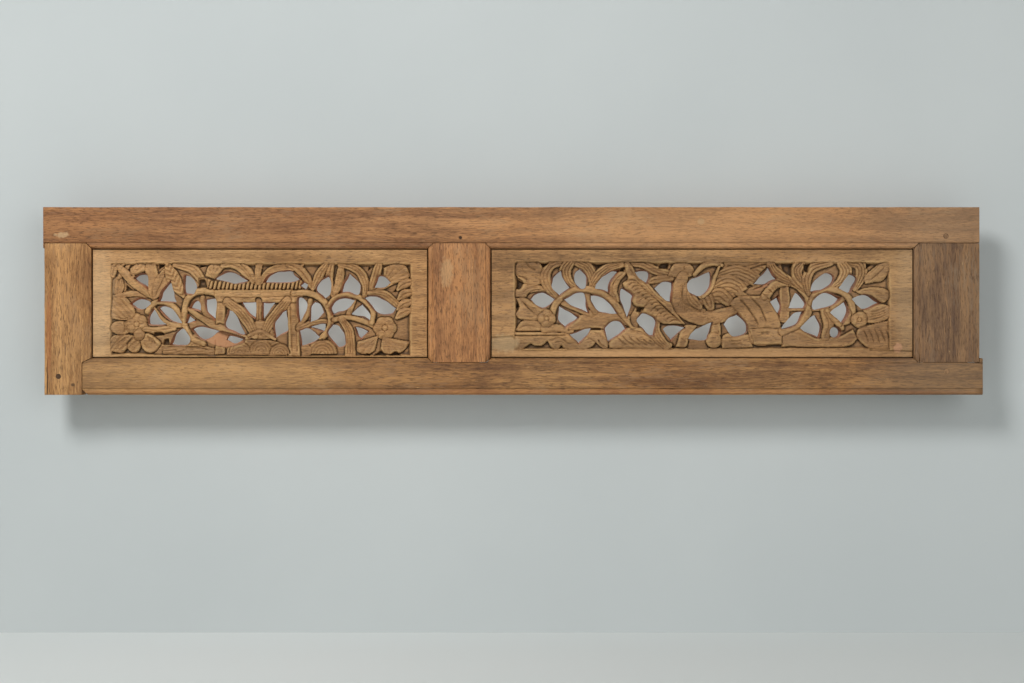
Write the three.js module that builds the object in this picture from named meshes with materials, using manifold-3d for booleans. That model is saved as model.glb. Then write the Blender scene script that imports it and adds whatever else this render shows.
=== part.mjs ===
// Carved wall panel: two pierced and carved boards in a pegged, moulded frame.
// Millimetres, +Z up. The back lies on the plane y = 0 and the carving faces -Y.
// The origin is the middle of the top rail's back, where the panel hangs on the wall.
import * as THREE from "three";
import { mergeVertices } from "three/addons/utils/BufferGeometryUtils.js";
import Module from "manifold-3d";

const wasm = await Module();
wasm.setup();

// ---- driving dimensions ----

const wholeLength = 1500;
const wholeHeight = 300;
const frameDepth = 32;
const fitGap = 0.3;
const sliver = 0.06;
const bandStep = 0.23;
const sliverHeight = 0.004;
const shortEdge = 0.08;

const frameLeft = -wholeLength / 2;
const frameRight = wholeLength / 2;
const hangHeight = 117;                       // the origin, above the middle of the whole
const frameTop = wholeHeight / 2 - hangHeight;
const frameFoot = -wholeHeight / 2 - hangHeight;

const topRail = { height: 66.2, right: frameRight - 5.4, bead: 8.5 };
const bottomRail = { height: 59, left: frameLeft + 62, bead: 7, notch: 9 };
const leftStile = { left: frameLeft + 2, width: 75, footWidth: 60 };
const muntin = { left: -135.6, width: 99.7, bead: 6.5 };
const rightStile = { left: 640, width: 104.6, bead: 8 };

const quirk = { width: 1.6, depth: 1.8 };     // the groove beside each bead
const tenon = { thick: 10, long: 30, inset: 18 };
const peg = { radius: 4, sides: 12, back: 3 };
const board = { back: 8, thick: 20, gap: 2, groundThick: 9, tongue: 6, tongueThick: 6 };

const openingTop = frameTop - topRail.height;
const openingFoot = frameFoot + bottomRail.height;

// ---- solids ----

function toSolid(geometry) {
  geometry.deleteAttribute("normal");
  geometry.deleteAttribute("uv");
  const merged = mergeVertices(geometry, 1e-4);
  const vertProperties = new Float32Array(merged.attributes.position.array);
  const triVerts = new Uint32Array(merged.index.array);
  return new wasm.Manifold(new wasm.Mesh({ numProp: 3, vertProperties, triVerts }));
}

// Faces thinner than the sliver height are taken out: a short edge is closed up, and a long flat face
// gives its longest edge to the face beside it. The outside stays where it is.
function withoutSlivers(points, faces) {
  const at = (i) => new THREE.Vector3().fromArray(points, i * 3);
  const key = (a, b) => a * points.length + b;
  for (let round = 0; round < 60; round++) {
    const owner = new Map();
    const beside = new Map();
    faces.forEach((face, f) => face.forEach((a, k) => {
      owner.set(key(a, face[(k + 1) % 3]), f);
      beside.set(a, (beside.get(a) ?? new Set()).add(face[(k + 1) % 3]));
    }));
    const thin = faces.findIndex((face) => {
      const [a, b, c] = face.map(at);
      const longest = Math.max(a.distanceTo(b), b.distanceTo(c), c.distanceTo(a));
      return b.clone().sub(a).cross(c.clone().sub(a)).length() < longest * sliverHeight;
    });
    if (thin < 0) return faces;
    const lengths = faces[thin].map((a, k) => at(a).distanceTo(at(faces[thin][(k + 1) % 3])));
    const shortest = lengths.indexOf(Math.min(...lengths));
    const longest = lengths.indexOf(Math.max(...lengths));
    const [keep, drop] = [faces[thin][shortest], faces[thin][(shortest + 1) % 3]];
    const common = [...beside.get(keep)].filter((v) => beside.get(drop).has(v));
    if (lengths[shortest] < shortEdge && common.length === 2) {
      faces = faces.map((face) => face.map((v) => (v === drop ? keep : v)))
        .filter(([a, b, c]) => a !== b && b !== c && c !== a);
    } else {
      const [a, b, m] = [0, 1, 2].map((k) => faces[thin][(longest + k) % 3]);
      const other = owner.get(key(b, a));
      const d = faces[other].find((v) => v !== a && v !== b);
      faces[thin] = [a, d, m];
      faces[other] = [d, b, m];
    }
  }
  return faces;
}

function toMesh(name, solid, material) {
  const { vertProperties, triVerts } = solid.getMesh();
  const faces = Array.from({ length: triVerts.length / 3 }, (_, f) => Array.from(triVerts.slice(f * 3, f * 3 + 3)));
  const geometry = new THREE.BufferGeometry();
  geometry.setAttribute("position", new THREE.BufferAttribute(vertProperties, 3));
  geometry.setIndex(withoutSlivers(vertProperties, faces).flat());
  geometry.computeVertexNormals();
  const mesh = new THREE.Mesh(geometry, material);
  mesh.name = name;
  return mesh;
}

function shapeOf(points) {
  return new THREE.Shape(points.map(([a, b]) => new THREE.Vector2(a, b)));
}

// An outline in x and z, solid between two depths behind the wall plane (depths are positive).
function plate(points, nearDepth, farDepth) {
  const geometry = new THREE.ExtrudeGeometry(shapeOf(points), { depth: farDepth - nearDepth, bevelEnabled: false });
  geometry.rotateX(Math.PI / 2);
  geometry.translate(0, -nearDepth, 0);
  return toSolid(geometry);
}

function block(left, right, foot, top, nearDepth, farDepth) {
  return plate([[left, foot], [right, foot], [right, top], [left, top]], nearDepth, farDepth);
}

// A section in depth and z, run along x.
function railBar(section, left, right) {
  const geometry = new THREE.ExtrudeGeometry(shapeOf(section), { depth: right - left, bevelEnabled: false });
  geometry.applyMatrix4(new THREE.Matrix4().makeBasis(
    new THREE.Vector3(0, 1, 0), new THREE.Vector3(0, 0, 1), new THREE.Vector3(1, 0, 0)));
  geometry.translate(left, 0, 0);
  return toSolid(geometry);
}

// A section in x and depth, run up z.
function stileBar(section, foot, top) {
  const geometry = new THREE.ExtrudeGeometry(shapeOf(section), { depth: top - foot, bevelEnabled: false });
  geometry.translate(0, 0, foot);
  return toSolid(geometry);
}

function pegBar(x, z, radius) {
  const geometry = new THREE.CylinderGeometry(radius, radius, frameDepth - peg.back, peg.sides);
  geometry.translate(x, -(frameDepth + peg.back) / 2, z);
  return toSolid(geometry);
}

const join = (solids) => solids.reduce((whole, next) => whole.add(next));

// The one body that is left of a worked solid, without the slivers that its cuts leave on it.
function cleaned(solid) {
  const bodies = solid.simplify(sliver).decompose();
  return bodies.reduce((largest, next) => (next.volume() > largest.volume() ? next : largest));
}

// ---- frame ----

// One edge of a member with a bead: from the outer end of the quirk to the back, as [along, depth].
function beadedEdge(edge, bead, outward) {
  const front = frameDepth;
  const line = edge - outward * bead;
  const soft = bead * 0.35;
  return [
    [line - outward * quirk.width, front],
    [line - outward * quirk.width / 2, front - quirk.depth],
    [line, front - 0.6],
    [edge - outward * soft, front - 0.6],
    [edge, front - 0.6 - soft],
    [edge, 0],
  ];
}

function topRailSection() {
  const lower = beadedEdge(openingTop, topRail.bead, -1);
  return [[frameTop, 0], [frameTop, frameDepth], ...lower].map(([z, depth]) => [-depth, z]);
}

function bottomRailSection() {
  const upper = beadedEdge(openingFoot, bottomRail.bead, 1);
  const lower = beadedEdge(frameFoot, bottomRail.notch, -1).reverse();
  return [...upper.reverse(), ...lower.reverse()].map(([z, depth]) => [-depth, z]);
}

function stileSection(left, right, leftBead, rightBead) {
  const leftEdge = leftBead ? beadedEdge(left, leftBead, -1).reverse() : [[left, 0], [left, frameDepth]];
  const rightEdge = rightBead ? beadedEdge(right, rightBead, 1) : [[right, frameDepth], [right, 0]];
  return [...leftEdge, ...rightEdge].map(([x, depth]) => [x, -depth]);
}

// The end of a stile where it stands between two beads: its corners are mitred to them.
function mitredOutline(left, right, foot, top, footMitre, topMitre) {
  return [
    [left, foot + footMitre[0]], [left + footMitre[0], foot],
    [right - footMitre[1], foot], [right, foot + footMitre[1]],
    [right, top - topMitre[1]], [right - topMitre[1], top],
    [left + topMitre[0], top], [left, top - topMitre[0]],
  ].filter((point, i, all) => i === 0 || point[0] !== all[i - 1][0] || point[1] !== all[i - 1][1]);
}

function grownOutline(points, gap) {
  const middle = points.reduce((sum, [x, z]) => [sum[0] + x / points.length, sum[1] + z / points.length], [0, 0]);
  return points.map(([x, z]) => [x + Math.sign(x - middle[0]) * gap, z + Math.sign(z - middle[1]) * gap]);
}

const tenonNear = (frameDepth - tenon.thick) / 2 + 3;

// A tenon block, grown by a gap to give its mortise.
function tenonBlock(left, right, foot, top, gap) {
  return block(left - gap, right + gap, foot - gap, top + gap, tenonNear - gap, tenonNear + tenon.thick + gap);
}

const stileTop = openingTop + topRail.bead;
const muntinFoot = openingFoot - bottomRail.bead;
const leftInner = leftStile.left + leftStile.width;
const leftFootInner = leftStile.left + leftStile.footWidth;
const muntinRight = muntin.left + muntin.width;
const rightOuter = rightStile.left + rightStile.width;

const outlines = {
  leftStile: [
    [leftStile.left, frameFoot], [leftFootInner, frameFoot],
    [leftFootInner, muntinFoot], [leftInner, openingFoot],
    [leftInner, openingTop], [leftInner - topRail.bead, stileTop], [leftStile.left, stileTop],
  ],
  muntin: mitredOutline(muntin.left, muntinRight, muntinFoot, stileTop,
    [bottomRail.bead, bottomRail.bead], [topRail.bead, topRail.bead]),
  rightStile: mitredOutline(rightStile.left, rightOuter, muntinFoot, stileTop,
    [bottomRail.bead, 0], [topRail.bead, 0]),
};

const tenons = {
  leftTop: [leftStile.left + tenon.inset, leftInner - tenon.inset, stileTop - 1, stileTop + tenon.long],
  muntinTop: [muntin.left + tenon.inset, muntinRight - tenon.inset, stileTop - 1, stileTop + tenon.long],
  rightTop: [rightStile.left + tenon.inset, rightOuter - tenon.inset, stileTop - 1, stileTop + tenon.long],
  muntinFoot: [muntin.left + tenon.inset, muntinRight - tenon.inset, muntinFoot - tenon.long, muntinFoot + 1],
  rightFoot: [rightStile.left + tenon.inset, rightOuter - tenon.inset, muntinFoot - tenon.long, muntinFoot + 1],
  railLeft: [bottomRail.left - 46, bottomRail.left + 1, frameFoot + tenon.inset, muntinFoot - tenon.inset / 2],
};

const pegPlaces = {
  right_top_peg: [691, 103.7 - hangHeight],
  right_foot_peg: [692, -112.3 - hangHeight],
  left_foot_peg: [-725.6, -120.3 - hangHeight],
};

// The slot that a board's tongue slides in, cut round the board's opening.
function tongueSlot(left, right) {
  const reach = board.tongue - board.gap + 1;
  const near = board.back + (board.thick - board.tongueThick) / 2 - 4;
  return block(left - reach, right + reach, openingFoot - reach, openingTop + reach,
    near - fitGap, near + board.tongueThick + fitGap);
}

function cutAll(solid, cutters) {
  return cutters.reduce((rest, cutter) => rest.subtract(cutter), solid);
}

const slots = [tongueSlot(leftInner, muntin.left), tongueSlot(muntinRight, rightStile.left)];
const pegHoles = Object.values(pegPlaces).map(([x, z]) => pegBar(x, z, peg.radius + fitGap));
const stileSockets = Object.values(outlines).map((outline) => plate(grownOutline(outline, fitGap), -1, frameDepth + 1));
const mortises = Object.values(tenons).map((place) => tenonBlock(...place, fitGap));

function buildTopRail() {
  const bar = railBar(topRailSection(), frameLeft, topRail.right);
  return cutAll(bar, [...stileSockets, ...mortises, ...slots, ...pegHoles]);
}

function buildBottomRail() {
  const bar = railBar(bottomRailSection(), bottomRail.left + fitGap, frameRight);
  const notch = plate([
    [bottomRail.left - 1, frameFoot - 1], [bottomRail.left + bottomRail.notch, frameFoot - 1],
    [bottomRail.left + bottomRail.notch, frameFoot], [bottomRail.left, frameFoot + bottomRail.notch],
    [bottomRail.left - 1, frameFoot + bottomRail.notch],
  ], -1, frameDepth + 1);
  const otherMortises = mortises.slice(0, -1);
  const body = cutAll(bar, [...stileSockets, ...otherMortises, notch]);
  const tongue = tenonBlock(...tenons.railLeft, 0);
  return cutAll(body.add(tongue), [...slots, ...pegHoles]);
}

function buildStile(outline, section, ownTenons) {
  const bar = stileBar(section, frameFoot - 1, frameTop);
  const body = bar.intersect(plate(outline, -1, frameDepth + 1));
  return join([body, ...ownTenons.map((place) => tenonBlock(...place, 0))]);
}

function buildLeftStile() {
  const solid = buildStile(outlines.leftStile, stileSection(leftStile.left, leftInner, 0, 0), [tenons.leftTop]);
  return cutAll(solid, [mortises.at(-1), ...slots, ...pegHoles]);
}

function buildMuntin() {
  const section = stileSection(muntin.left, muntinRight, muntin.bead, muntin.bead);
  const solid = buildStile(outlines.muntin, section, [tenons.muntinTop, tenons.muntinFoot]);
  return cutAll(solid, slots);
}

function buildRightStile() {
  const section = stileSection(rightStile.left, rightOuter, rightStile.bead, 0);
  const solid = buildStile(outlines.rightStile, section, [tenons.rightTop, tenons.rightFoot]);
  return cutAll(solid, [...slots, ...pegHoles]);
}

// ---- carved boards ----

// A stem or leaf: a raised band along a smooth line. Its path is in the board's own u (along) and
// v (up), its width runs from one end to the other through a middle width, and it is cut flat on top.
// Crossing bands differ a little in height, by their place in the order of carving.
function band(origin, { path, width, top = board.thick, steps = path.length * 2 - 3 }, order) {
  const crest = top - bandStep * (order % 5);
  const curve = new THREE.CatmullRomCurve3(path.map(([u, v]) => new THREE.Vector3(u, 0, v)), false, "centripetal");
  const [first, middle, last] = width.length === 3 ? width : [width[0], (width[0] + width.at(-1)) / 2, width.at(-1)];
  const positions = [];
  const index = [];
  for (let i = 0; i <= steps; i++) {
    const t = i / steps;
    const at = curve.getPoint(t);
    const along = curve.getTangent(t);
    const wide = first * (1 - t) * (1 - 2 * t) + middle * 4 * t * (1 - t) + last * t * (2 * t - 1);
    const half = Math.max(wide, 1.2) / 2;
    const crown = half * 0.55;
    for (const [side, depth] of [[-half, 3], [half, 3], [crown, crest], [-crown, crest]]) {
      positions.push(origin[0] + at.x + along.z * side, -board.back - depth, origin[1] + at.z - along.x * side);
    }
    if (i < steps) {
      for (let k = 0; k < 4; k++) {
        const a = i * 4 + k;
        const b = i * 4 + (k + 1) % 4;
        index.push(a, a + 4, b, b, a + 4, b + 4);
      }
    }
  }
  const end = steps * 4;
  index.push(0, 1, 2, 0, 2, 3, end, end + 2, end + 1, end, end + 3, end + 2);
  const vertProperties = new Float32Array(positions);
  return new wasm.Manifold(new wasm.Mesh({ numProp: 3, vertProperties, triVerts: new Uint32Array(index) }));
}

function placed(origin, points) {
  return points.map(([u, v]) => [origin[0] + u, origin[1] + v]);
}

function ringOutline(u, v, radius, sides) {
  return Array.from({ length: sides }, (_, i) => {
    const angle = (i / sides) * Math.PI * 2;
    return [u + radius * Math.cos(angle), v + radius * Math.sin(angle)];
  });
}

// A board: tongue, flat margins, sunk field, raised work and the openings that go right through.
function carvedBoard(left, right, carving) {
  const origin = [left, openingFoot];
  const [l, r] = [left + board.gap, right - board.gap];
  const [f, t] = [openingFoot + board.gap, openingTop - board.gap];
  const tongueNear = board.back + (board.thick - board.tongueThick) / 2 - 4;
  const reach = board.tongue;
  const whole = block(l, r, f, t, board.back, board.back + board.thick)
    .add(block(l - reach + 1, r + reach - 1, f - reach + 1, t + reach - 1, tongueNear, tongueNear + board.tongueThick));
  const ground = board.back + board.groundThick;
  const fields = carving.fields.map((points) => plate(placed(origin, points), ground, frameDepth + 5));
  const raised = carving.bands.map((each, order) => band(origin, each, order));
  const blocks = carving.blocks.map(({ outline, top }) => plate(placed(origin, outline), ground - 2, board.back + top));
  const inside = block(l, r, f, t, board.back, board.back + board.thick + 3);
  const worked = join([cutAll(whole, fields), join([...raised, ...blocks]).intersect(inside)]);
  const openings = carving.openings.map((points) => plate(placed(origin, points), 0, frameDepth + 5));
  return cleaned(cutAll(worked, openings));
}

function rosette(u, v, radius, petals) {
  const turns = Array.from({ length: petals }, (_, i) => (i / petals) * Math.PI * 2 + 0.2);
  const spoke = (angle, reach) => [u + reach * Math.cos(angle), v + reach * Math.sin(angle)];
  const petal = (angle) => ({
    path: [spoke(angle, radius * 0.3), spoke(angle, radius)],
    width: [radius * 0.35, radius * 0.7, radius * 0.3],
    top: 16.5,
  });
  return [...turns.map(petal), { path: [[u - radius * 0.3, v], [u + radius * 0.3, v]], width: [5, radius, 5], top: 18.5 }];
}

// ---- left board: a table between scrolling stems ----

const tableWork = { left: 196, right: 329, slabFoot: 89, slabTop: 109, gadroonFoot: 110, gadroonTop: 121, legWidth: 16 };

function gadroonRow({ left, right, foot, top, pitch }) {
  const count = Math.floor((right - left) / pitch);
  return Array.from({ length: count }, (_, i) => {
    const u = left + (i + 0.5) * pitch;
    return { path: [[u + 1.5, foot], [u - 1.5, top]], width: [pitch - 1.5, pitch - 1, pitch - 1.5], steps: 1 };
  });
}

const leftCarving = {
  fields: [
    [[30, 6], [30, 152], [510, 152], [510, 4], [300, 0], [60, 0]],
  ],
  blocks: [
    {
      outline: [
        [tableWork.left, tableWork.slabFoot], [tableWork.right, tableWork.slabFoot],
        [tableWork.right, tableWork.slabTop], [tableWork.left, tableWork.slabTop],
      ],
      top: 20,
    },
    { outline: [[197, 55], [213, 54], [213, 92], [197, 92]], top: 19 },
    { outline: [[197, 4], [212, 4], [212, 30], [197, 30]], top: 16 },
    { outline: [[313, 3], [332, 3], [328, 92], [311, 92]], top: 19 },
    { outline: [[183, 110], [337, 110], [337, 119], [250, 120], [185, 127]], top: 13 },
    { outline: [[250, 27], [290, 27], [288, 44], [280, 55], [262, 58], [251, 46]], top: 17 },
    { outline: [[215, 3], [312, 3], [312, 14], [288, 27], [250, 28], [228, 24], [215, 12]], top: 15 },
  ],
  bands: [
    { path: [[92, 98], [66, 116], [40, 143]], width: [5, 15, 8] },
    { path: [[34, 132], [40, 148], [54, 148]], width: [6, 12, 5], top: 17 },
    { path: [[62, 132], [74, 144], [88, 148]], width: [8, 20, 8], top: 18 },
    { path: [[97, 96], [96, 124], [93, 151]], width: [6, 21, 13], top: 17 },
    { path: [[100, 98], [111, 122], [124, 146]], width: [6, 21, 8], top: 16 },
    { path: [[123, 151], [132, 124], [145, 98]], width: [8, 21, 8] },
    { path: [[130, 148], [158, 142], [178, 115]], width: [9, 16, 9], top: 17 },
    { path: [[178, 146], [192, 132], [210, 146]], width: [9, 17, 9], top: 18 },
    { path: [[88, 75], [93, 84], [105, 90], [120, 88], [135, 77], [145, 58], [155, 38], [176, 24]], width: [8, 9, 8] },
    { path: [[98, 80], [106, 67], [128, 53], [147, 52]], width: [7, 8, 9] },
    { path: [[147, 55], [147, 80], [155, 99], [178, 107], [202, 103]], width: [10, 10, 11], steps: 7 },
    { path: [[156, 78], [174, 64], [203, 49], [247, 32]], width: [8, 15, 7], top: 18 },
    { path: [[176, 96], [178, 78], [188, 64], [204, 52]], width: [8, 8, 8], top: 16 },
    { path: [[218, 88], [242, 66], [262, 40]], width: [14, 18, 14], top: 18 },
    { path: [[309, 88], [292, 66], [278, 44]], width: [14, 17, 14], top: 18 },
    { path: [[266, 90], [266, 58]], width: [9, 9], top: 16 },
    { path: [[222, 148], [243, 139], [258, 121]], width: [10, 14, 8], top: 18 },
    { path: [[270, 123], [288, 139], [316, 145]], width: [8, 14, 9], top: 18 },
    { path: [[266, 121], [266, 150]], width: [9, 9], top: 17 },
    { path: [[318, 146], [338, 136], [353, 110]], width: [8, 15, 8], top: 18 },
    { path: [[375, 150], [360, 128], [352, 108]], width: [8, 15, 8], top: 18 },
    { path: [[322, 103], [345, 104], [363, 96], [376, 82], [381, 62], [376, 42], [361, 29]], width: [10, 10, 10] },
    { path: [[348, 92], [345, 75], [330, 51]], width: [8, 9, 8], top: 17 },
    { path: [[372, 58], [350, 57], [330, 47]], width: [8, 10, 8], top: 17 },
    { path: [[386, 100], [381, 128], [388, 151]], width: [8, 15, 9], top: 18 },
    { path: [[388, 100], [396, 126], [399, 151]], width: [6, 14, 8], top: 17 },
    { path: [[376, 82], [388, 96], [405, 101], [426, 97], [442, 85], [450, 72], [447, 57]], width: [8, 9, 8] },
    { path: [[400, 147], [425, 138], [437, 117], [435, 98]], width: [9, 16, 8], top: 18 },
    { path: [[455, 150], [452, 128], [446, 104]], width: [9, 15, 8], top: 18 },
    { path: [[466, 120], [486, 134], [508, 146]], width: [12, 24, 14], top: 18 },
    { path: [[455, 107], [478, 119], [492, 126]], width: [8, 9, 9], top: 17 },
    { path: [[445, 104], [470, 99], [492, 84]], width: [8, 13, 9], top: 18 },
    { path: [[500, 126], [502, 94], [498, 60]], width: [16, 21, 16], top: 17 },
    { path: [[386, 61], [410, 65], [432, 60], [449, 52]], width: [8, 8, 9], top: 18 },
    { path: [[418, 92], [410, 70]], width: [8, 8], top: 16 },
    { path: [[397, 62], [412, 42], [412, 4]], width: [9, 15, 17], top: 18 },
    { path: [[425, 10], [444, 22], [456, 38]], width: [12, 22, 12], top: 17 },
    { path: [[466, 10], [486, 20], [508, 24]], width: [12, 22, 15], top: 17 },
    { path: [[62, 92], [46, 82], [30, 70]], width: [8, 22, 10], top: 17 },
    { path: [[34, 112], [42, 124], [44, 132]], width: [10, 18, 8], top: 15 },
    { path: [[30, 48], [46, 50], [62, 44]], width: [14, 24, 14], top: 17 },
    { path: [[28, 22], [44, 24], [58, 34]], width: [15, 26, 12], top: 17 },
    { path: [[78, 18], [68, 26], [58, 34]], width: [13, 22, 10], top: 17 },
    { path: [[80, 34], [92, 22], [92, 8]], width: [14, 27, 11], top: 18 },
    { path: [[106, 13], [150, 15], [196, 10]], width: [14, 18, 14], top: 17 },
    { path: [[350, 12], [368, 22], [392, 12]], width: [14, 24, 14], top: 17 },
    ...rosette(71, 54, 16, 6),
    ...rosette(468, 47, 17, 6),
    ...gadroonRow({ left: 190, right: 333, foot: 110, top: 120, pitch: 6.5 }),
  ],
  openings: [
    [[67, 128], [74, 133], [84, 134], [88, 130], [89, 110], [80, 117]],
    [[62, 87], [69, 93], [77, 95], [85, 93], [92, 87], [85, 81], [77, 79], [69, 81]],
    [[105, 92], [112, 108], [125, 121], [132, 89]],
    [[146, 128], [150, 131], [158, 126], [165, 114], [161, 104], [154, 102], [148, 104]],
    [[107, 80], [120, 81], [130, 74], [142, 57], [132, 59], [120, 64], [110, 74]],
    [[98, 78], [92, 70], [90, 60], [93, 54], [117, 53], [108, 62]],
    [[152, 69], [165, 60], [150, 57]],
    [[156, 81], [160, 88], [167, 91], [171, 86], [172, 76]],
    [[181, 93], [190, 94], [197, 90], [196, 62], [190, 68], [182, 77]],
    [[158, 46], [165, 50], [178, 50], [200, 44], [178, 30]],
    [[125, 22], [130, 35], [137, 43], [145, 45], [155, 31], [148, 22]],
    [[218, 76], [225, 72], [233, 60], [243, 39], [235, 39], [215, 48], [214, 60]],
    [[198, 127], [213, 138], [225, 136], [250, 125], [240, 121], [225, 121]],
    [[275, 121], [280, 131], [290, 135], [315, 139], [322, 132], [332, 126], [315, 122]],
    [[240, 88], [260, 88], [261, 76], [260, 64], [250, 72]],
    [[272, 85], [278, 88], [290, 88], [282, 76], [273, 62]],
    [[293, 33], [291, 48], [294, 60], [302, 72], [308, 76], [312, 55], [311, 43], [300, 38]],
    [[215, 30], [220, 36], [238, 30], [228, 25]],
    [[329, 93], [333, 96], [342, 88], [340, 75], [333, 60], [329, 70]],
    [[350, 80], [356, 88], [362, 86], [370, 73], [360, 64], [349, 59]],
    [[359, 110], [365, 122], [376, 131], [380, 125], [380, 105], [371, 96]],
    [[332, 44], [342, 47], [352, 44], [363, 34], [352, 26], [335, 21]],
    [[350, 50], [362, 53], [371, 54], [371, 45], [366, 44]],
    [[385, 53], [393, 50], [402, 40], [405, 25], [402, 20], [390, 21], [377, 40]],
    [[381, 80], [388, 91], [398, 96], [408, 96], [417, 92], [408, 80], [385, 70]],
    [[398, 105], [402, 120], [411, 133], [420, 127], [427, 117], [424, 102], [410, 105]],
    [[416, 71], [431, 85], [437, 79], [443, 68], [443, 62], [432, 66]],
    [[421, 49], [430, 48], [441, 43], [430, 31], [425, 37]],
    [[437, 96], [445, 99], [458, 98], [470, 91], [484, 80], [480, 72], [470, 70], [457, 72], [448, 81]],
    [[452, 114], [456, 128], [462, 131], [470, 127], [476, 121], [466, 114]],
    [[334, 116], [338, 121], [343, 118], [341, 112]],
  ],
};

// ---- right board: a crested scroll and a hanging fold among leaves ----

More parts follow.
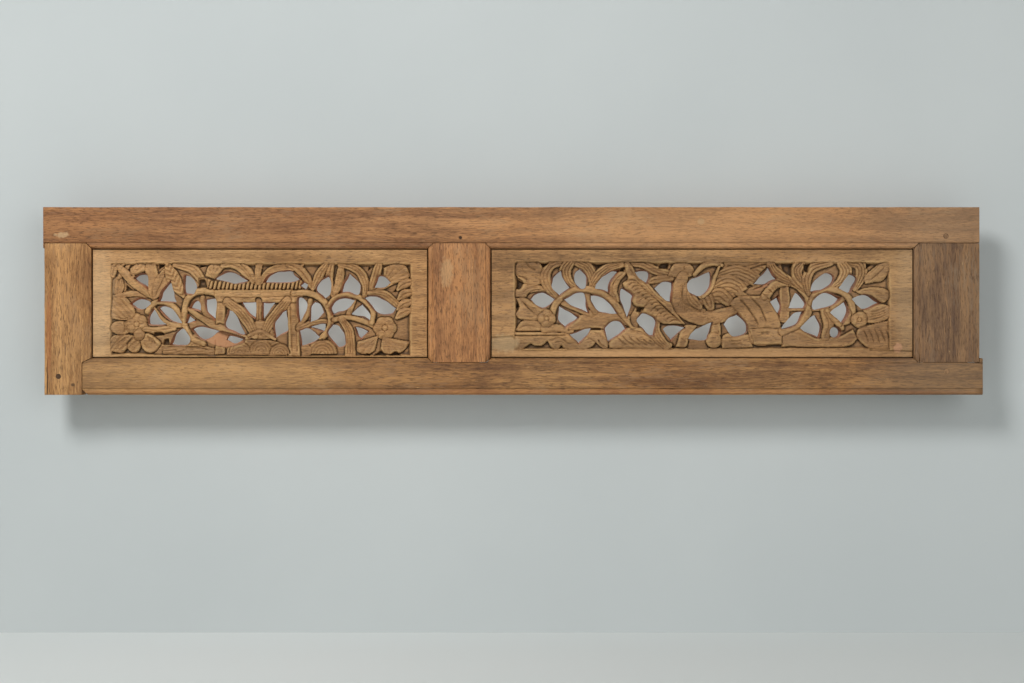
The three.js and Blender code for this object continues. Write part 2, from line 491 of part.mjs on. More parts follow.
const rightCarving = {
  fields: [
    [[38, 14], [38, 153], [350, 153.6], [637, 153], [637, 14], [606, 15], [587, 31], [565, 17], [420, 15]],
  ],
  blocks: [
    { outline: [[297, 17], [318, 17], [318, 50], [300, 50]], top: 18 },
    { outline: [[470, 18], [565, 18], [556, 38], [500, 45], [474, 40]], top: 15 },
    { outline: [[370, 15], [421, 15], [421, 36], [384, 38], [370, 30]], top: 17 },
    { outline: [[318, 14], [345, 14], [345, 28], [318, 28]], top: 14 },
    { outline: [[383, 86], [400, 68], [410, 48], [421, 21], [465, 22], [464, 55], [455, 80], [447, 95]], top: 18 },
    { outline: ringOutline(357, 27, 13, 10), top: 18 },
  ],
  bands: [
    { path: [[44, 122], [60, 140], [82, 156]], width: [14, 26, 12], top: 18 },
    { path: [[95, 108], [87, 130], [98, 148], [120, 154]], width: [7, 13, 9], top: 18 },
    { path: [[141, 110], [122, 122], [118, 142], [131, 156]], width: [7, 20, 9] },
    { path: [[160, 112], [160, 132], [143, 155]], width: [7, 15, 9], top: 18 },
    { path: [[164, 111], [172, 128], [188, 144], [214, 152]], width: [7, 13, 9], top: 18 },
    { path: [[200, 96], [194, 113], [213, 137]], width: [7, 16, 8], top: 18 },
    {
      path: [[95, 64], [103, 85], [128, 106], [150, 111], [170, 105], [200, 84], [222, 58], [238, 48]],
      width: [9, 9, 9], steps: 12,
    },
    { path: [[112, 91], [162, 71]], width: [8, 9], top: 17 },
    { path: [[155, 103], [158, 88], [167, 74]], width: [8, 8, 8], top: 17 },
    { path: [[120, 43], [170, 62], [228, 54]], width: [8, 24, 9], top: 18 },
    { path: [[80, 112], [60, 106], [38, 104]], width: [7, 20, 10], top: 17 },
    { path: [[80, 76], [60, 80], [38, 70]], width: [10, 26, 8], top: 18 },
    { path: [[100, 50], [70, 46], [42, 52]], width: [13, 22, 12], top: 17 },
    { path: [[50, 22], [80, 30], [125, 22]], width: [12, 22, 14], top: 17 },
    { path: [[160, 22], [176, 32], [192, 22]], width: [12, 24, 12], top: 17 },
    { path: [[192, 20], [224, 28], [288, 18]], width: [14, 28, 14], top: 18 },
    { path: [[262, 16], [270, 40], [286, 58]], width: [10, 16, 8], top: 17 },
    { path: [[220, 152], [232, 126], [252, 110], [275, 84], [312, 56]], width: [9, 26, 10] },
    { path: [[306, 134], [300, 110], [303, 84], [326, 66], [360, 65], [392, 76]], width: [16, 22, 16] },
    { path: [[286, 132], [302, 143], [318, 152]], width: [12, 24, 12], top: 18 },
    { path: [[325, 136], [350, 151], [369, 148]], width: [9, 12, 9], top: 18 },
    { path: [[365, 142], [360, 118], [340, 98]], width: [8, 11, 8], top: 18 },
    { path: [[402, 110], [382, 108], [362, 100]], width: [10, 22, 12], top: 19 },
    { path: [[427, 128], [396, 130], [366, 122]], width: [10, 25, 14], top: 18 },
    { path: [[441, 146], [406, 147], [372, 144]], width: [9, 16, 11], top: 17 },
    { path: [[446, 94], [450, 115], [472, 122], [496, 112], [510, 92], [500, 62], [468, 44]], width: [12, 12, 12] },
    { path: [[470, 66], [472, 112]], width: [16, 14], top: 17 },
    { path: [[478, 78], [502, 78]], width: [7, 7], top: 16 },
    { path: [[448, 152], [464, 134], [492, 118]], width: [12, 18, 9], top: 18 },
    { path: [[488, 155], [480, 136], [506, 106]], width: [9, 15, 8], top: 18 },
    { path: [[508, 104], [507, 130], [522, 148], [547, 152]], width: [8, 11, 9], top: 18 },
    { path: [[558, 153], [570, 132], [552, 110]], width: [12, 16, 8], top: 18 },
    { path: [[578, 153], [602, 142], [590, 116]], width: [12, 18, 9], top: 18 },
    { path: [[603, 118], [618, 136], [638, 152]], width: [13, 26, 14], top: 18 },
    { path: [[602, 108], [620, 104], [638, 94]], width: [10, 24, 14], top: 17 },
    { path: [[604, 84], [622, 76], [638, 66]], width: [10, 22, 12], top: 17 },
    { path: [[587, 42], [614, 32], [638, 20]], width: [11, 25, 13], top: 17 },
    { path: [[508, 92], [535, 109], [560, 106], [578, 90], [581, 68]], width: [8, 8, 8] },
    { path: [[508, 106], [514, 84], [508, 60]], width: [8, 8, 9], top: 17 },
    { path: [[543, 77], [563, 95]], width: [8, 8], top: 17 },
    { path: [[514, 78], [542, 77]], width: [7, 8], top: 17 },
    { path: [[532, 32], [538, 54], [530, 76]], width: [10, 13, 7], top: 18 },
    { path: [[562, 50], [550, 60], [545, 76]], width: [9, 13, 7], top: 18 },
    ...rosette(90, 63, 15, 4),
    ...rosette(590, 60, 14, 5),
  ],
  openings: [
    [[64, 94], [70, 101], [80, 104], [88, 103], [102, 94], [90, 82], [80, 81]],
    [[98, 122], [100, 130], [112, 139], [116, 125], [127, 113], [110, 101], [99, 114]],
    [[135, 128], [137, 136], [142, 139], [153, 131], [154, 124], [151, 114], [144, 112], [138, 117]],
    [[168, 113], [172, 122], [190, 137], [204, 139], [192, 120], [190, 106]],
    [[118, 94], [136, 104], [147, 104], [156, 73], [130, 84]],
    [[110, 82], [140, 66], [130, 58], [120, 50], [108, 62]],
    [[162, 99], [168, 101], [178, 97], [190, 88], [202, 72], [175, 74], [162, 90]],
    [[128, 38], [148, 45], [159, 46], [154, 36], [141, 24]],
    [[183, 46], [188, 54], [198, 58], [208, 57], [216, 47], [205, 37], [188, 28]],
    [[208, 108], [212, 111], [225, 103], [226, 92], [219, 66], [208, 92]],
    [[233, 137], [240, 138], [253, 130], [252, 122], [249, 120], [236, 131]],
    [[243, 71], [252, 68], [263, 60], [261, 37], [252, 38], [238, 55], [236, 62]],
    [[264, 112], [272, 119], [280, 121], [291, 121], [288, 91], [272, 102]],
    [[278, 46], [284, 50], [300, 50], [309, 48], [300, 40], [289, 28]],
    [[316, 115], [320, 124], [338, 131], [355, 138], [346, 115], [340, 104], [330, 101]],
    [[318, 30], [322, 38], [332, 47], [354, 56], [347, 38], [342, 29]],
    [[375, 54], [382, 63], [395, 71], [407, 58], [411, 48], [408, 41], [388, 36]],
    [[423, 119], [440, 139], [445, 144], [455, 127], [440, 118]],
    [[449, 90], [460, 99], [463, 80], [461, 70]],
    [[480, 80], [487, 100], [491, 102], [503, 89], [502, 81]],
    [[467, 48], [480, 66], [490, 73], [500, 74], [490, 57], [472, 48]],
    [[513, 108], [516, 118], [535, 134], [545, 134], [549, 129], [544, 117], [520, 107]],
    [[516, 85], [526, 101], [540, 104], [560, 96], [543, 83], [518, 79]],
    [[497, 48], [512, 64], [519, 67], [529, 50], [524, 33], [505, 41]],
    [[545, 74], [563, 88], [568, 89], [572, 72], [562, 57]],
    ringOutline(552, 41, 8, 10),
    [[560, 113], [572, 131], [577, 133], [584, 126], [576, 106], [568, 106]],
    [[581, 93], [595, 100], [606, 99], [622, 89], [600, 79], [590, 84]],
  ],
};

// ---- the object ----

const wood = (color) => new THREE.MeshStandardMaterial({ color, roughness: 0.75, metalness: 0 });

const pieces = {
  top_rail: [buildTopRail, 0x8a6844],
  bottom_rail: [buildBottomRail, 0x97714a],
  left_stile: [buildLeftStile, 0x9b7748],
  muntin: [buildMuntin, 0x93704a],
  right_stile: [buildRightStile, 0x776350],
  left_carved_panel: [() => carvedBoard(leftInner, muntin.left, leftCarving), 0x9a7a50],
  right_carved_panel: [() => carvedBoard(muntinRight, rightStile.left, rightCarving), 0x8f7150],
};

const group = new THREE.Group();
for (const [name, [build, color]] of Object.entries(pieces)) {
  group.add(toMesh(name, build(), wood(color)));
}
for (const [name, [x, z]] of Object.entries(pegPlaces)) {
  group.add(toMesh(name, pegBar(x, z, peg.radius), wood(0x6b4e30)));
}

export default group;
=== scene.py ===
# The looks of a carved wall panel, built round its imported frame. Metres, +Z up, Blender 4.5.
# The two pierced boards are carved as height maps in millimetres, and each becomes one mesh.
import math

import bmesh
import bpy
import numpy as np
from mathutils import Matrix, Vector, noise


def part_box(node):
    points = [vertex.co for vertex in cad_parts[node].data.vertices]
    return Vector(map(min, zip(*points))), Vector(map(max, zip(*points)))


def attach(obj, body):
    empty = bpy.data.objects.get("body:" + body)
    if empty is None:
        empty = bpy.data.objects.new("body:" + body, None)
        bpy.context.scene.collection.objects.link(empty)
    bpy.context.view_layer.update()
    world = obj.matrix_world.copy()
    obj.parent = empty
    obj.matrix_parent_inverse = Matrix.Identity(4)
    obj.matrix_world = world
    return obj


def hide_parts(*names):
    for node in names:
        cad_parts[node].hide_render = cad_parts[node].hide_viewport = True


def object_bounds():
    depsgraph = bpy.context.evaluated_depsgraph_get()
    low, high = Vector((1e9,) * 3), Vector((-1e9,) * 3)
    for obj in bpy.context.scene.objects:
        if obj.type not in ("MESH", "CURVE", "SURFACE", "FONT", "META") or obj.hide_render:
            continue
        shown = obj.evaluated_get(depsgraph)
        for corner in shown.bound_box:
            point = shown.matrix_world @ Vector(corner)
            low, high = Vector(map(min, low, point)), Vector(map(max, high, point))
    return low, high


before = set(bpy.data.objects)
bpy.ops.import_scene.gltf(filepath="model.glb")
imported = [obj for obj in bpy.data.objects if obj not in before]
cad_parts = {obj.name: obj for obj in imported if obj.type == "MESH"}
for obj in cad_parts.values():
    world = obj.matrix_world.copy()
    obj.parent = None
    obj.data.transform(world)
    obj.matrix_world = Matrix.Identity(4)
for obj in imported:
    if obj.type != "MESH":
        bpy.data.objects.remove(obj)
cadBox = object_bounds()
print("frame loaded")

mm = 0.001
rearY = cadBox[1][1]
frontY = cadBox[0][1]
middleX = (cadBox[0][0] + cadBox[1][0]) / 2
middleZ = (cadBox[0][2] + cadBox[1][2]) / 2


# camera, floor, backdrop and lights

studio = {
    "distance": 3.0,      # from the panel's front to the camera
    "viewWidth": 1.634,   # how much of the panel's plane the picture takes in
    "cameraRight": -0.0016,
    "cameraUp": -0.0646,  # from the panel's middle
    "floorDrop": 0.543,   # floor below the panel's middle
    "wallGap": 0.06,      # backdrop behind the panel's back
    "floorColour": "cfd3d1",
    "wallColour": "c6cbca",
    "wallShade": "b9bfbf",
    "key": 74,            # lights in watts
    "fill": 27,
    "rear": 16,
    "wash": 0.3,          # on the backdrop behind the openings
}


def hexColour(text):
    # a hex colour as linear values
    parts = [int(text[k:k + 2], 16) / 255 for k in (0, 2, 4)]
    return tuple(p / 12.92 if p <= 0.04045 else ((p + 0.055) / 1.055) ** 2.4 for p in parts) + (1.0,)


def addNode(tree, kind, inputs=(), **settings):
    # one shader node with its settings; an input is a value or another node's socket
    made = tree.nodes.new(kind)
    for key, value in settings.items():
        setattr(made, key, value)
    for key, value in dict(inputs).items():
        if isinstance(value, bpy.types.NodeSocket):
            tree.links.new(value, made.inputs[key])
        else:
            made.inputs[key].default_value = value
    return made


def mixColours(tree, share, first, second, blend="MIX"):
    made = tree.nodes.new("ShaderNodeMix")
    made.data_type = "RGBA"
    made.blend_type = blend
    for slot, value in ((0, share), (6, first), (7, second)):
        if isinstance(value, bpy.types.NodeSocket):
            tree.links.new(value, made.inputs[slot])
        else:
            made.inputs[slot].default_value = value
    return made.outputs[2]


def newMaterial(name):
    material = bpy.data.materials.new(name)
    material.use_nodes = True
    tree = material.node_tree
    return material, tree, tree.nodes["Principled BSDF"]


def aimedAt(thing, target):
    thing.rotation_euler = (Vector(target) - thing.location).to_track_quat("-Z", "Y").to_euler()


def addObject(name, data):
    made = bpy.data.objects.new(name, data)
    bpy.context.scene.collection.objects.link(made)
    return made


def addCamera():
    data = bpy.data.cameras.new("camera")
    data.sensor_width = 36
    data.lens = data.sensor_width * studio["distance"] / studio["viewWidth"]
    camera = addObject("camera", data)
    camera.location = (middleX + studio["cameraRight"], frontY - studio["distance"],
                       middleZ + studio["cameraUp"])
    camera.rotation_euler = (math.pi / 2, 0, 0)
    bpy.context.scene.camera = camera


def addLight(name, place, size, watts, target):
    data = bpy.data.lights.new(name, "AREA")
    data.shape = "DISK"
    data.size = size
    data.energy = watts
    lamp = addObject(name, data)
    lamp.location = place
    aimedAt(lamp, target)


def flatSheet(name, corners):
    mesh = bpy.data.meshes.new(name)
    mesh.from_pydata(corners, [], [(0, 1, 2, 3)])
    return addObject(name, mesh)


def addStage():
    # a pale floor, and a pale backdrop that only shows from the front
    floorZ = middleZ - studio["floorDrop"]
    floor = flatSheet("floor", [(-6, -6, floorZ), (6, -6, floorZ), (6, 6, floorZ), (-6, 6, floorZ)])
    material, tree, shader = newMaterial("paleFloor")
    shader.inputs["Base Color"].default_value = hexColour(studio["floorColour"])
    shader.inputs["Roughness"].default_value = 0.6
    floor.data.materials.append(material)

    wallY = rearY + studio["wallGap"]
    wall = flatSheet("backdrop", [(-6, wallY, floorZ), (6, wallY, floorZ), (6, wallY, 4), (-6, wallY, 4)])
    material, tree, shader = newMaterial("paleBackdrop")
    place = addNode(tree, "ShaderNodeTexCoord").outputs["Object"]
    cloud = addNode(tree, "ShaderNodeTexNoise", {"Vector": place, "Scale": 2.2, "Detail": 3})
    colour = mixColours(tree, cloud.outputs["Fac"], hexColour(studio["wallShade"]), hexColour(studio["wallColour"]))
    tree.links.new(colour, shader.inputs["Base Color"])
    shader.inputs["Roughness"].default_value = 0.9
    clear = addNode(tree, "ShaderNodeBsdfTransparent")
    facing = addNode(tree, "ShaderNodeNewGeometry")
    both = addNode(tree, "ShaderNodeMixShader", {"Fac": facing.outputs["Backfacing"]})
    tree.links.new(shader.outputs["BSDF"], both.inputs[1])
    tree.links.new(clear.outputs["BSDF"], both.inputs[2])
    tree.links.new(both.outputs["Shader"], tree.nodes["Material Output"].inputs["Surface"])
    wall.data.materials.append(material)
    wall.visible_shadow = False


def addWash():
    # a hidden strip behind the panel that keeps the backdrop bright behind the openings
    data = bpy.data.lights.new("wash", "AREA")
    data.shape = "RECTANGLE"
    data.size, data.size_y = 1.3, 0.12
    data.energy = studio["wash"]
    lamp = addObject("wash", data)
    lamp.location = (middleX, rearY + 0.004, middleZ)
    aimedAt(lamp, (middleX, rearY + 1, middleZ))
    lamp.visible_camera = False


def addStudio():
    addCamera()
    addStage()
    middle = (middleX, frontY, middleZ)
    addLight("key", (middleX - 1.3, frontY - 2.6, middleZ + 1.9), 1.1, studio["key"], middle)
    addLight("fill", (middleX + 1.5, frontY - 3.2, middleZ + 0.5), 2.4, studio["fill"], middle)
    addLight("rear", (middleX - 0.8, rearY + 2.4, middleZ + 1.6), 2.0, studio["rear"], middle)
    addWash()
    world = bpy.data.worlds.new("softRoom")
    world.use_nodes = True
    world.node_tree.nodes["Background"].inputs["Color"].default_value = hexColour("e9e9e8")
    world.node_tree.nodes["Background"].inputs["Strength"].default_value = 0.33
    bpy.context.scene.world = world
    bpy.context.scene.view_settings.view_transform = "Standard"


addStudio()
print("camera, floor and lights placed")


# old wood

def math2(tree, operation, first, second=0.0, clamp=False):
    made = addNode(tree, "ShaderNodeMath", {0: first, 1: second}, operation=operation, use_clamp=clamp)
    return made.outputs[0]


def between(tree, value, low, high):
    # nought at low, one at high, smooth in the middle
    return addNode(tree, "ShaderNodeMapRange", {"Value": value, "From Min": low, "From Max": high},
                interpolation_type="SMOOTHSTEP").outputs["Result"]


def noiseAt(tree, place, scale, detail=3.0, roughness=0.55, distortion=0.0):
    return addNode(tree, "ShaderNodeTexNoise", {"Vector": place, "Scale": scale, "Detail": detail,
                                             "Roughness": roughness, "Distortion": distortion}).outputs["Fac"]


def stretched(tree, place, along, amount, shift):
    # coordinates drawn out along the grain
    scale = (amount, 1, 1) if along == "X" else (1, 1, amount)
    return addNode(tree, "ShaderNodeMapping", {"Vector": place, "Scale": scale,
                                            "Location": (shift, shift * 0.7, shift * 1.3)}).outputs["Vector"]


def markMask(tree, place, wobble, mark):
    # an uneven round or long mark on the face: its middle and half sizes in millimetres
    x, z = mark["at"]
    width, height = mark["size"]
    moved = addNode(tree, "ShaderNodeMapping", {"Vector": place, "Location": (-x / width, 0, -z / height),
                                             "Scale": (1 / width / mm, 0, 1 / height / mm)}).outputs["Vector"]
    reach = addNode(tree, "ShaderNodeVectorMath", {0: moved}, operation="LENGTH").outputs["Value"]
    uneven = math2(tree, "ADD", reach, math2(tree, "MULTIPLY", wobble, mark.get("ragged", 0.5)))
    soft = mark.get("soft", 0.3)
    return between(tree, uneven, 1 + soft, 1 - soft)


def woodMaterial(name, look, carved=False):
    # grain, pores, stains and wear; where the piece is carved, the deep ground is painted darker as shade, the
    # hollows get dirt with painted shade and the crests get wear with painted highlight
    material, tree, shader = newMaterial(name)
    place = addNode(tree, "ShaderNodeTexCoord").outputs["Object"]
    shift = look["shift"]
    along = look["along"]
    wander = noiseAt(tree, stretched(tree, place, along, 0.25, shift), 9, 2)
    bent = addNode(tree, "ShaderNodeVectorMath",
                {0: place, 1: addNode(tree, "ShaderNodeCombineXYZ", {
                    "X": math2(tree, "MULTIPLY", wander, 0.03), "Y": 0.0,
                    "Z": math2(tree, "MULTIPLY", wander, 0.03)}).outputs["Vector"]},
                operation="ADD").outputs["Vector"]
    grain = noiseAt(tree, stretched(tree, bent, along, 0.1, shift), 420, 5, 0.75)
    rings = noiseAt(tree, stretched(tree, bent, along, 0.05, shift + 3), 62, 3, 0.5)
    pores = noiseAt(tree, stretched(tree, bent, along, 0.12, shift + 5), 760, 2, 0.6)
    blotch = noiseAt(tree, stretched(tree, place, along, 0.5, shift + 7), 16, 4, 0.6)
    broad = noiseAt(tree, place, 3.5, 2, 0.5)
    speck = noiseAt(tree, place, 330, 2, 0.6)

    tone = math2(tree, "ADD", math2(tree, "MULTIPLY", grain, 0.55), math2(tree, "MULTIPLY", rings, 0.45))
    colour = mixColours(tree, between(tree, tone, 0.38, 0.62), hexColour(look["dark"]), hexColour(look["light"]))
    stain = math2(tree, "MULTIPLY", between(tree, blotch, 0.5, 0.72), look["stain"])
    colour = mixColours(tree, stain, colour, hexColour(look["stainColour"]))
    dry = math2(tree, "MULTIPLY", between(tree, math2(tree, "ADD", math2(tree, "MULTIPLY", blotch, 0.5),
                                                       math2(tree, "MULTIPLY", grain, 0.5)), 0.5, 0.38),
                look["dry"])
    colour = mixColours(tree, dry, colour, hexColour(look["dryColour"]))
    poreMask = math2(tree, "MULTIPLY", between(tree, pores, 0.54, 0.66), look["pores"])
    colour = mixColours(tree, poreMask, colour, hexColour(look["poreColour"]))
    colour = mixColours(tree, math2(tree, "MULTIPLY", between(tree, broad, 0.35, 0.65), 0.35), colour,
                        hexColour(look["broadColour"]), "SOFT_LIGHT")

    height = math2(tree, "SUBTRACT", math2(tree, "MULTIPLY", grain, 0.7), math2(tree, "MULTIPLY", poreMask, 0.8))
    if carved:
        hollow = addNode(tree, "ShaderNodeAttribute", attribute_name="hollow").outputs["Fac"]
        sunk = addNode(tree, "ShaderNodeAttribute", attribute_name="sunk").outputs["Fac"]
        fresh = addNode(tree, "ShaderNodeAttribute", attribute_name="fresh").outputs["Fac"]
        uneven = math2(tree, "MULTIPLY", math2(tree, "SUBTRACT", speck, 0.5), 0.35)
        # the hollows of the carving darkened: partly dirt, partly painted shade
        dirtAndShade = between(tree, math2(tree, "ADD", hollow, uneven), 0.02, 0.75)
        # the crests and edges of the carving lightened: partly wear, partly painted highlight
        worn = between(tree, math2(tree, "SUBTRACT", uneven, hollow), 0.08, 0.6)
        # the carved ground painted darker the deeper it lies below the face: painted shade
        colour = mixColours(tree, math2(tree, "MULTIPLY", sunk, 0.6), colour, hexColour(look["depthShadeColour"]))
        colour = mixColours(tree, math2(tree, "MULTIPLY", worn, 0.42), colour, hexColour(look["wearAndHighlightColour"]))
        colour = mixColours(tree, math2(tree, "MULTIPLY", dirtAndShade, 0.82), colour, hexColour(look["dirtAndShadeColour"]))
        freshMask = math2(tree, "MULTIPLY", fresh, 0.75)
        colour = mixColours(tree, freshMask, colour, hexColour(look["freshColour"]))
        height = math2(tree, "ADD", math2(tree, "MULTIPLY", height, 0.6), math2(tree, "MULTIPLY", speck, 0.6))

    chips = noiseAt(tree, stretched(tree, place, along, 0.3, shift + 9), 190, 3, 0.7)
    chipMask = math2(tree, "MULTIPLY", between(tree, chips, 0.68, 0.76), look["chips"])
    colour = mixColours(tree, chipMask, colour, hexColour(look["chipColour"]))
    wobble = math2(tree, "SUBTRACT", noiseAt(tree, place, 130, 3), 0.5)
    for mark in look.get("marks", ()):
        mask = math2(tree, "MULTIPLY", markMask(tree, place, wobble, mark), mark.get("strength", 0.9))
        colour = mixColours(tree, mask, colour, hexColour(mark["colour"]))
        if mark.get("deep"):
            height = math2(tree, "SUBTRACT", height, math2(tree, "MULTIPLY", mask, mark["deep"]))

    tree.links.new(colour, shader.inputs["Base Color"])
    rough = between(tree, grain, 0.2, 0.9)
    tree.links.new(math2(tree, "ADD", math2(tree, "MULTIPLY", rough, 0.25), look["roughness"] - 0.12),
                   shader.inputs["Roughness"])
    shader.inputs["Specular IOR Level"].default_value = 0.3
    bump = addNode(tree, "ShaderNodeBump", {"Height": height, "Strength": look["bump"], "Distance": 0.0012})
    tree.links.new(bump.outputs["Normal"], shader.inputs["Normal"])
    return material


def wood(**changes):
    # the looks that all the pieces share, with what differs in each
    look = {"along": "X", "shift": 0.0, "light": "a87b52", "dark": "7c5736", "stain": 0.5,
            "stainColour": "6b4a30", "dry": 0.5, "dryColour": "b8936a", "pores": 0.6, "poreColour": "4e3623",
            "broadColour": "94806c", "roughness": 0.62, "bump": 0.55, "depthShadeColour": "7c5a39",
            "wearAndHighlightColour": "c4a06c", "dirtAndShadeColour": "40301f", "freshColour": "bf8a62",
            "chips": 0.5, "chipColour": "cda874"}
    look.update(changes)
    return look


# rails, stiles and muntin

topRail = wood(light="bd8a5a", dark="7d5434", shift=1.0, stain=0.45, marks=[
    {"at": (-480, 0), "size": (260, 60), "colour": "744a2c", "soft": 0.8, "strength": 0.3},
    {"at": (330, 5), "size": (300, 60), "colour": "cda070", "soft": 0.8, "strength": 0.35},
    {"at": (735, 0), "size": (130, 60), "colour": "8d7459", "soft": 0.7, "strength": 0.5},
    {"at": (-83.8, -16), "size": (2.6, 2.6), "colour": "1d130c", "ragged": 0.15, "deep": 3.0},
    {"at": (300, 9.9), "size": (5.5, 5.0), "colour": "b69268", "ragged": 0.2, "strength": 0.75},
    {"at": (-719.7, -11.7), "size": (9, 4.5), "colour": "c3a178", "ragged": 2.4, "strength": 0.7}])
bottomRail = wood(light="b28552", dark="6d4a2c", shift=4.3, stain=0.55, marks=[
    {"at": (-520, -236), "size": (240, 40), "colour": "c69c66", "soft": 0.8, "strength": 0.3},
    {"at": (690, -236), "size": (110, 50), "colour": "7a6650", "soft": 0.7, "strength": 0.5},
    {"at": (0, -263.5), "size": (760, 5), "colour": "a5683c", "ragged": 0.4, "strength": 0.35}])
leftStile = wood(along="Z", light="c69863", dark="8d6338", shift=7.7, stain=0.3, marks=[
    {"at": (-742.8, -239), "size": (0.9, 30), "colour": "2a1c12", "ragged": 0.25, "deep": 2.0},
    {"at": (-702.3, -250.7), "size": (3.2, 2.6), "colour": "5a4029", "ragged": 0.4},
    {"at": (-741, -170), "size": (4, 70), "colour": "a3653b", "ragged": 0.9, "strength": 0.5}])
muntin = wood(along="Z", light="bf8b5a", dark="835735", shift=9.1, stain=0.45, marks=[
    {"at": (-106, -71), "size": (10, 21), "colour": "c4a073", "ragged": 1.6, "strength": 0.4}])
# the right stile's darker, greyer wood: partly its own colour, partly painted shade for the dimmer light at the
# panel's right end
rightStile = wood(along="Z", light="94714e", dark="5f4634", shift=12.4, stain=0.5, stainColour="4f3b2c",
                  dryColour="9a8266")


def memberMesh(node, look, easing=0.9, station=14.0, waver=0.35):
    # the solid with its long edges eased by wear and its faces a little uneven, sizes in millimetres
    work = bmesh.new()
    work.from_mesh(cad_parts[node].data)
    bmesh.ops.remove_doubles(work, verts=work.verts, dist=0.02 * mm)
    bmesh.ops.dissolve_limit(work, angle_limit=math.radians(1), verts=work.verts, edges=work.edges)
    sharp = [e for e in work.edges
             if e.is_manifold and e.calc_face_angle(0) > math.radians(40) and e.calc_length() > 6 * mm]
    bmesh.ops.bevel(work, geom=sharp, offset=easing * mm, segments=2, profile=0.6, affect="EDGES")
    low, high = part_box(node)
    axis = 0 if look["along"] == "X" else 2
    count = int((high[axis] - low[axis]) / (station * mm))
    for k in range(1, count):
        at = Vector((0, 0, 0))
        at[axis] = low[axis] + (high[axis] - low[axis]) * k / count
        across = Vector((0, 0, 0))
        across[axis] = 1
        bmesh.ops.bisect_plane(work, geom=work.verts[:] + work.edges[:] + work.faces[:], dist=0.01 * mm,
                               plane_co=at, plane_no=across)
    bmesh.ops.recalc_face_normals(work, faces=work.faces)
    work.normal_update()
    for v in work.verts:
        slow = noise.noise(v.co * 22 + Vector((look["shift"], 0, 0)))
        quick = noise.noise(v.co * 75 + Vector((0, look["shift"], 0)))
        inside = v.co.y > rearY - 1 * mm or v.co.y < frontY + 6 * mm
        v.co += v.normal * waver * mm * (slow + 0.5 * quick - 0.6) * (1 if inside else 0.4)
    bmesh.ops.triangulate(work, faces=work.faces)
    mesh = bpy.data.meshes.new(node)
    work.to_mesh(mesh)
    work.free()
    return mesh


def addPiece(name, mesh, node, materials, sharpAngle=40):
    piece = addObject(name, mesh)
    for material in materials:
        mesh.materials.append(material)
    mesh.polygons.foreach_set("use_smooth", [True] * len(mesh.polygons))
    mesh.set_sharp_from_angle(angle=math.radians(sharpAngle))
    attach(piece, "root")
    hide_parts(node)
    return piece


members = {"top_rail": topRail, "bottom_rail": bottomRail, "left_stile": leftStile, "muntin": muntin,
           "right_stile": rightStile}
for name, look in members.items():
    addPiece("worn_" + name, memberMesh(name, look), name, [woodMaterial(name + "Wood", look)])
print("frame members worn and finished")


palePeg = wood(along="Z", light="a07c58", dark="7c5c3f", shift=15.0, stain=0.3)
darkPeg = wood(along="Z", light="5d4129", dark="3a2818", shift=17.0, stain=0.4, stainColour="2b1d12",
               dry=0.2, dryColour="7a5a3c")
pegs = {"right_top_peg": palePeg, "right_foot_peg": palePeg, "left_foot_peg": darkPeg}


def finishPegs():
    for name, look in pegs.items():
        material = woodMaterial(name + "Wood", look)
        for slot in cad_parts[name].material_slots:
            slot.material = material


finishPegs()
print("pegs finished")


# carving tools

def smoothstep(low, high, value):
    t = np.clip((value - low) / (high - low), 0, 1)
    return t * t * (3 - 2 * t)


def smoothNoise(u, v, cell, seed):
    # random numbers on a grid, blended smoothly
    rng = np.random.default_rng(seed)
    cols = int(u.max() / cell) + 3
    rows = int(v.max() / cell) + 3
    table = rng.uniform(-1, 1, (rows, cols))
    gu, gv = u / cell, v / cell
    i, j = np.floor(gu).astype(int), np.floor(gv).astype(int)
    fu, fv = smoothstep(0, 1, gu - i), smoothstep(0, 1, gv - j)
    foot = table[j, i] * (1 - fu) + table[j, i + 1] * fu
    head = table[j + 1, i] * (1 - fu) + table[j + 1, i + 1] * fu
    return foot * (1 - fv) + head * fv


def curveThrough(before, start, end, after, steps):
    # one stretch of a smooth line, from start up to but not including end
    t = (np.arange(steps) / steps)[:, None]
    return 0.5 * (2 * start + (end - before) * t + (2 * before - 5 * start + 4 * end - after) * t ** 2
                  + (3 * start - before - 3 * end + after) * t ** 3)


def smoothPath(points, steps=7):
    # a smooth line through the points
    p = np.array(points, float)
    p = np.vstack([2 * p[0] - p[1], p, 2 * p[-1] - p[-2]])
    runs = [curveThrough(a, b, c, d, steps) for a, b, c, d in zip(p, p[1:], p[2:], p[3:])]
    return np.vstack(runs + [p[-2:-1]])


def smoothOutline(points, sharpest=105, steps=5):
    # a closed outline that curves through its points and keeps its sharp corners
    p = np.array(points, float)
    before, after = np.roll(p, 1, 0), np.roll(p, -1, 0)
    towards, away = p - before, after - p
    turn = np.degrees(np.arctan2(np.abs(towards[:, 0] * away[:, 1] - towards[:, 1] * away[:, 0]),
                                 (towards * away).sum(1)))
    sharp = turn > 180 - sharpest
    runs = []
    for k in range(len(p)):
        start, end = p[k], p[(k + 1) % len(p)]
        first = 2 * start - end if sharp[k] else before[k]
        last = 2 * end - start if sharp[(k + 1) % len(p)] else p[(k + 2) % len(p)]
        runs.append(curveThrough(first, start, end, last, steps))
    return np.vstack(runs)


def boxBlur(values, reach):
    # the mean over a square round each point, taken twice
    n = 2 * reach + 1
    for _ in range(2):
        padded = np.pad(values, reach, mode="edge")
        total = np.cumsum(np.cumsum(np.pad(padded, ((1, 0), (1, 0))), 0), 1)
        values = (total[n:, n:] - total[:-n, n:] - total[n:, :-n] + total[:-n, :-n]) / n ** 2
    return values


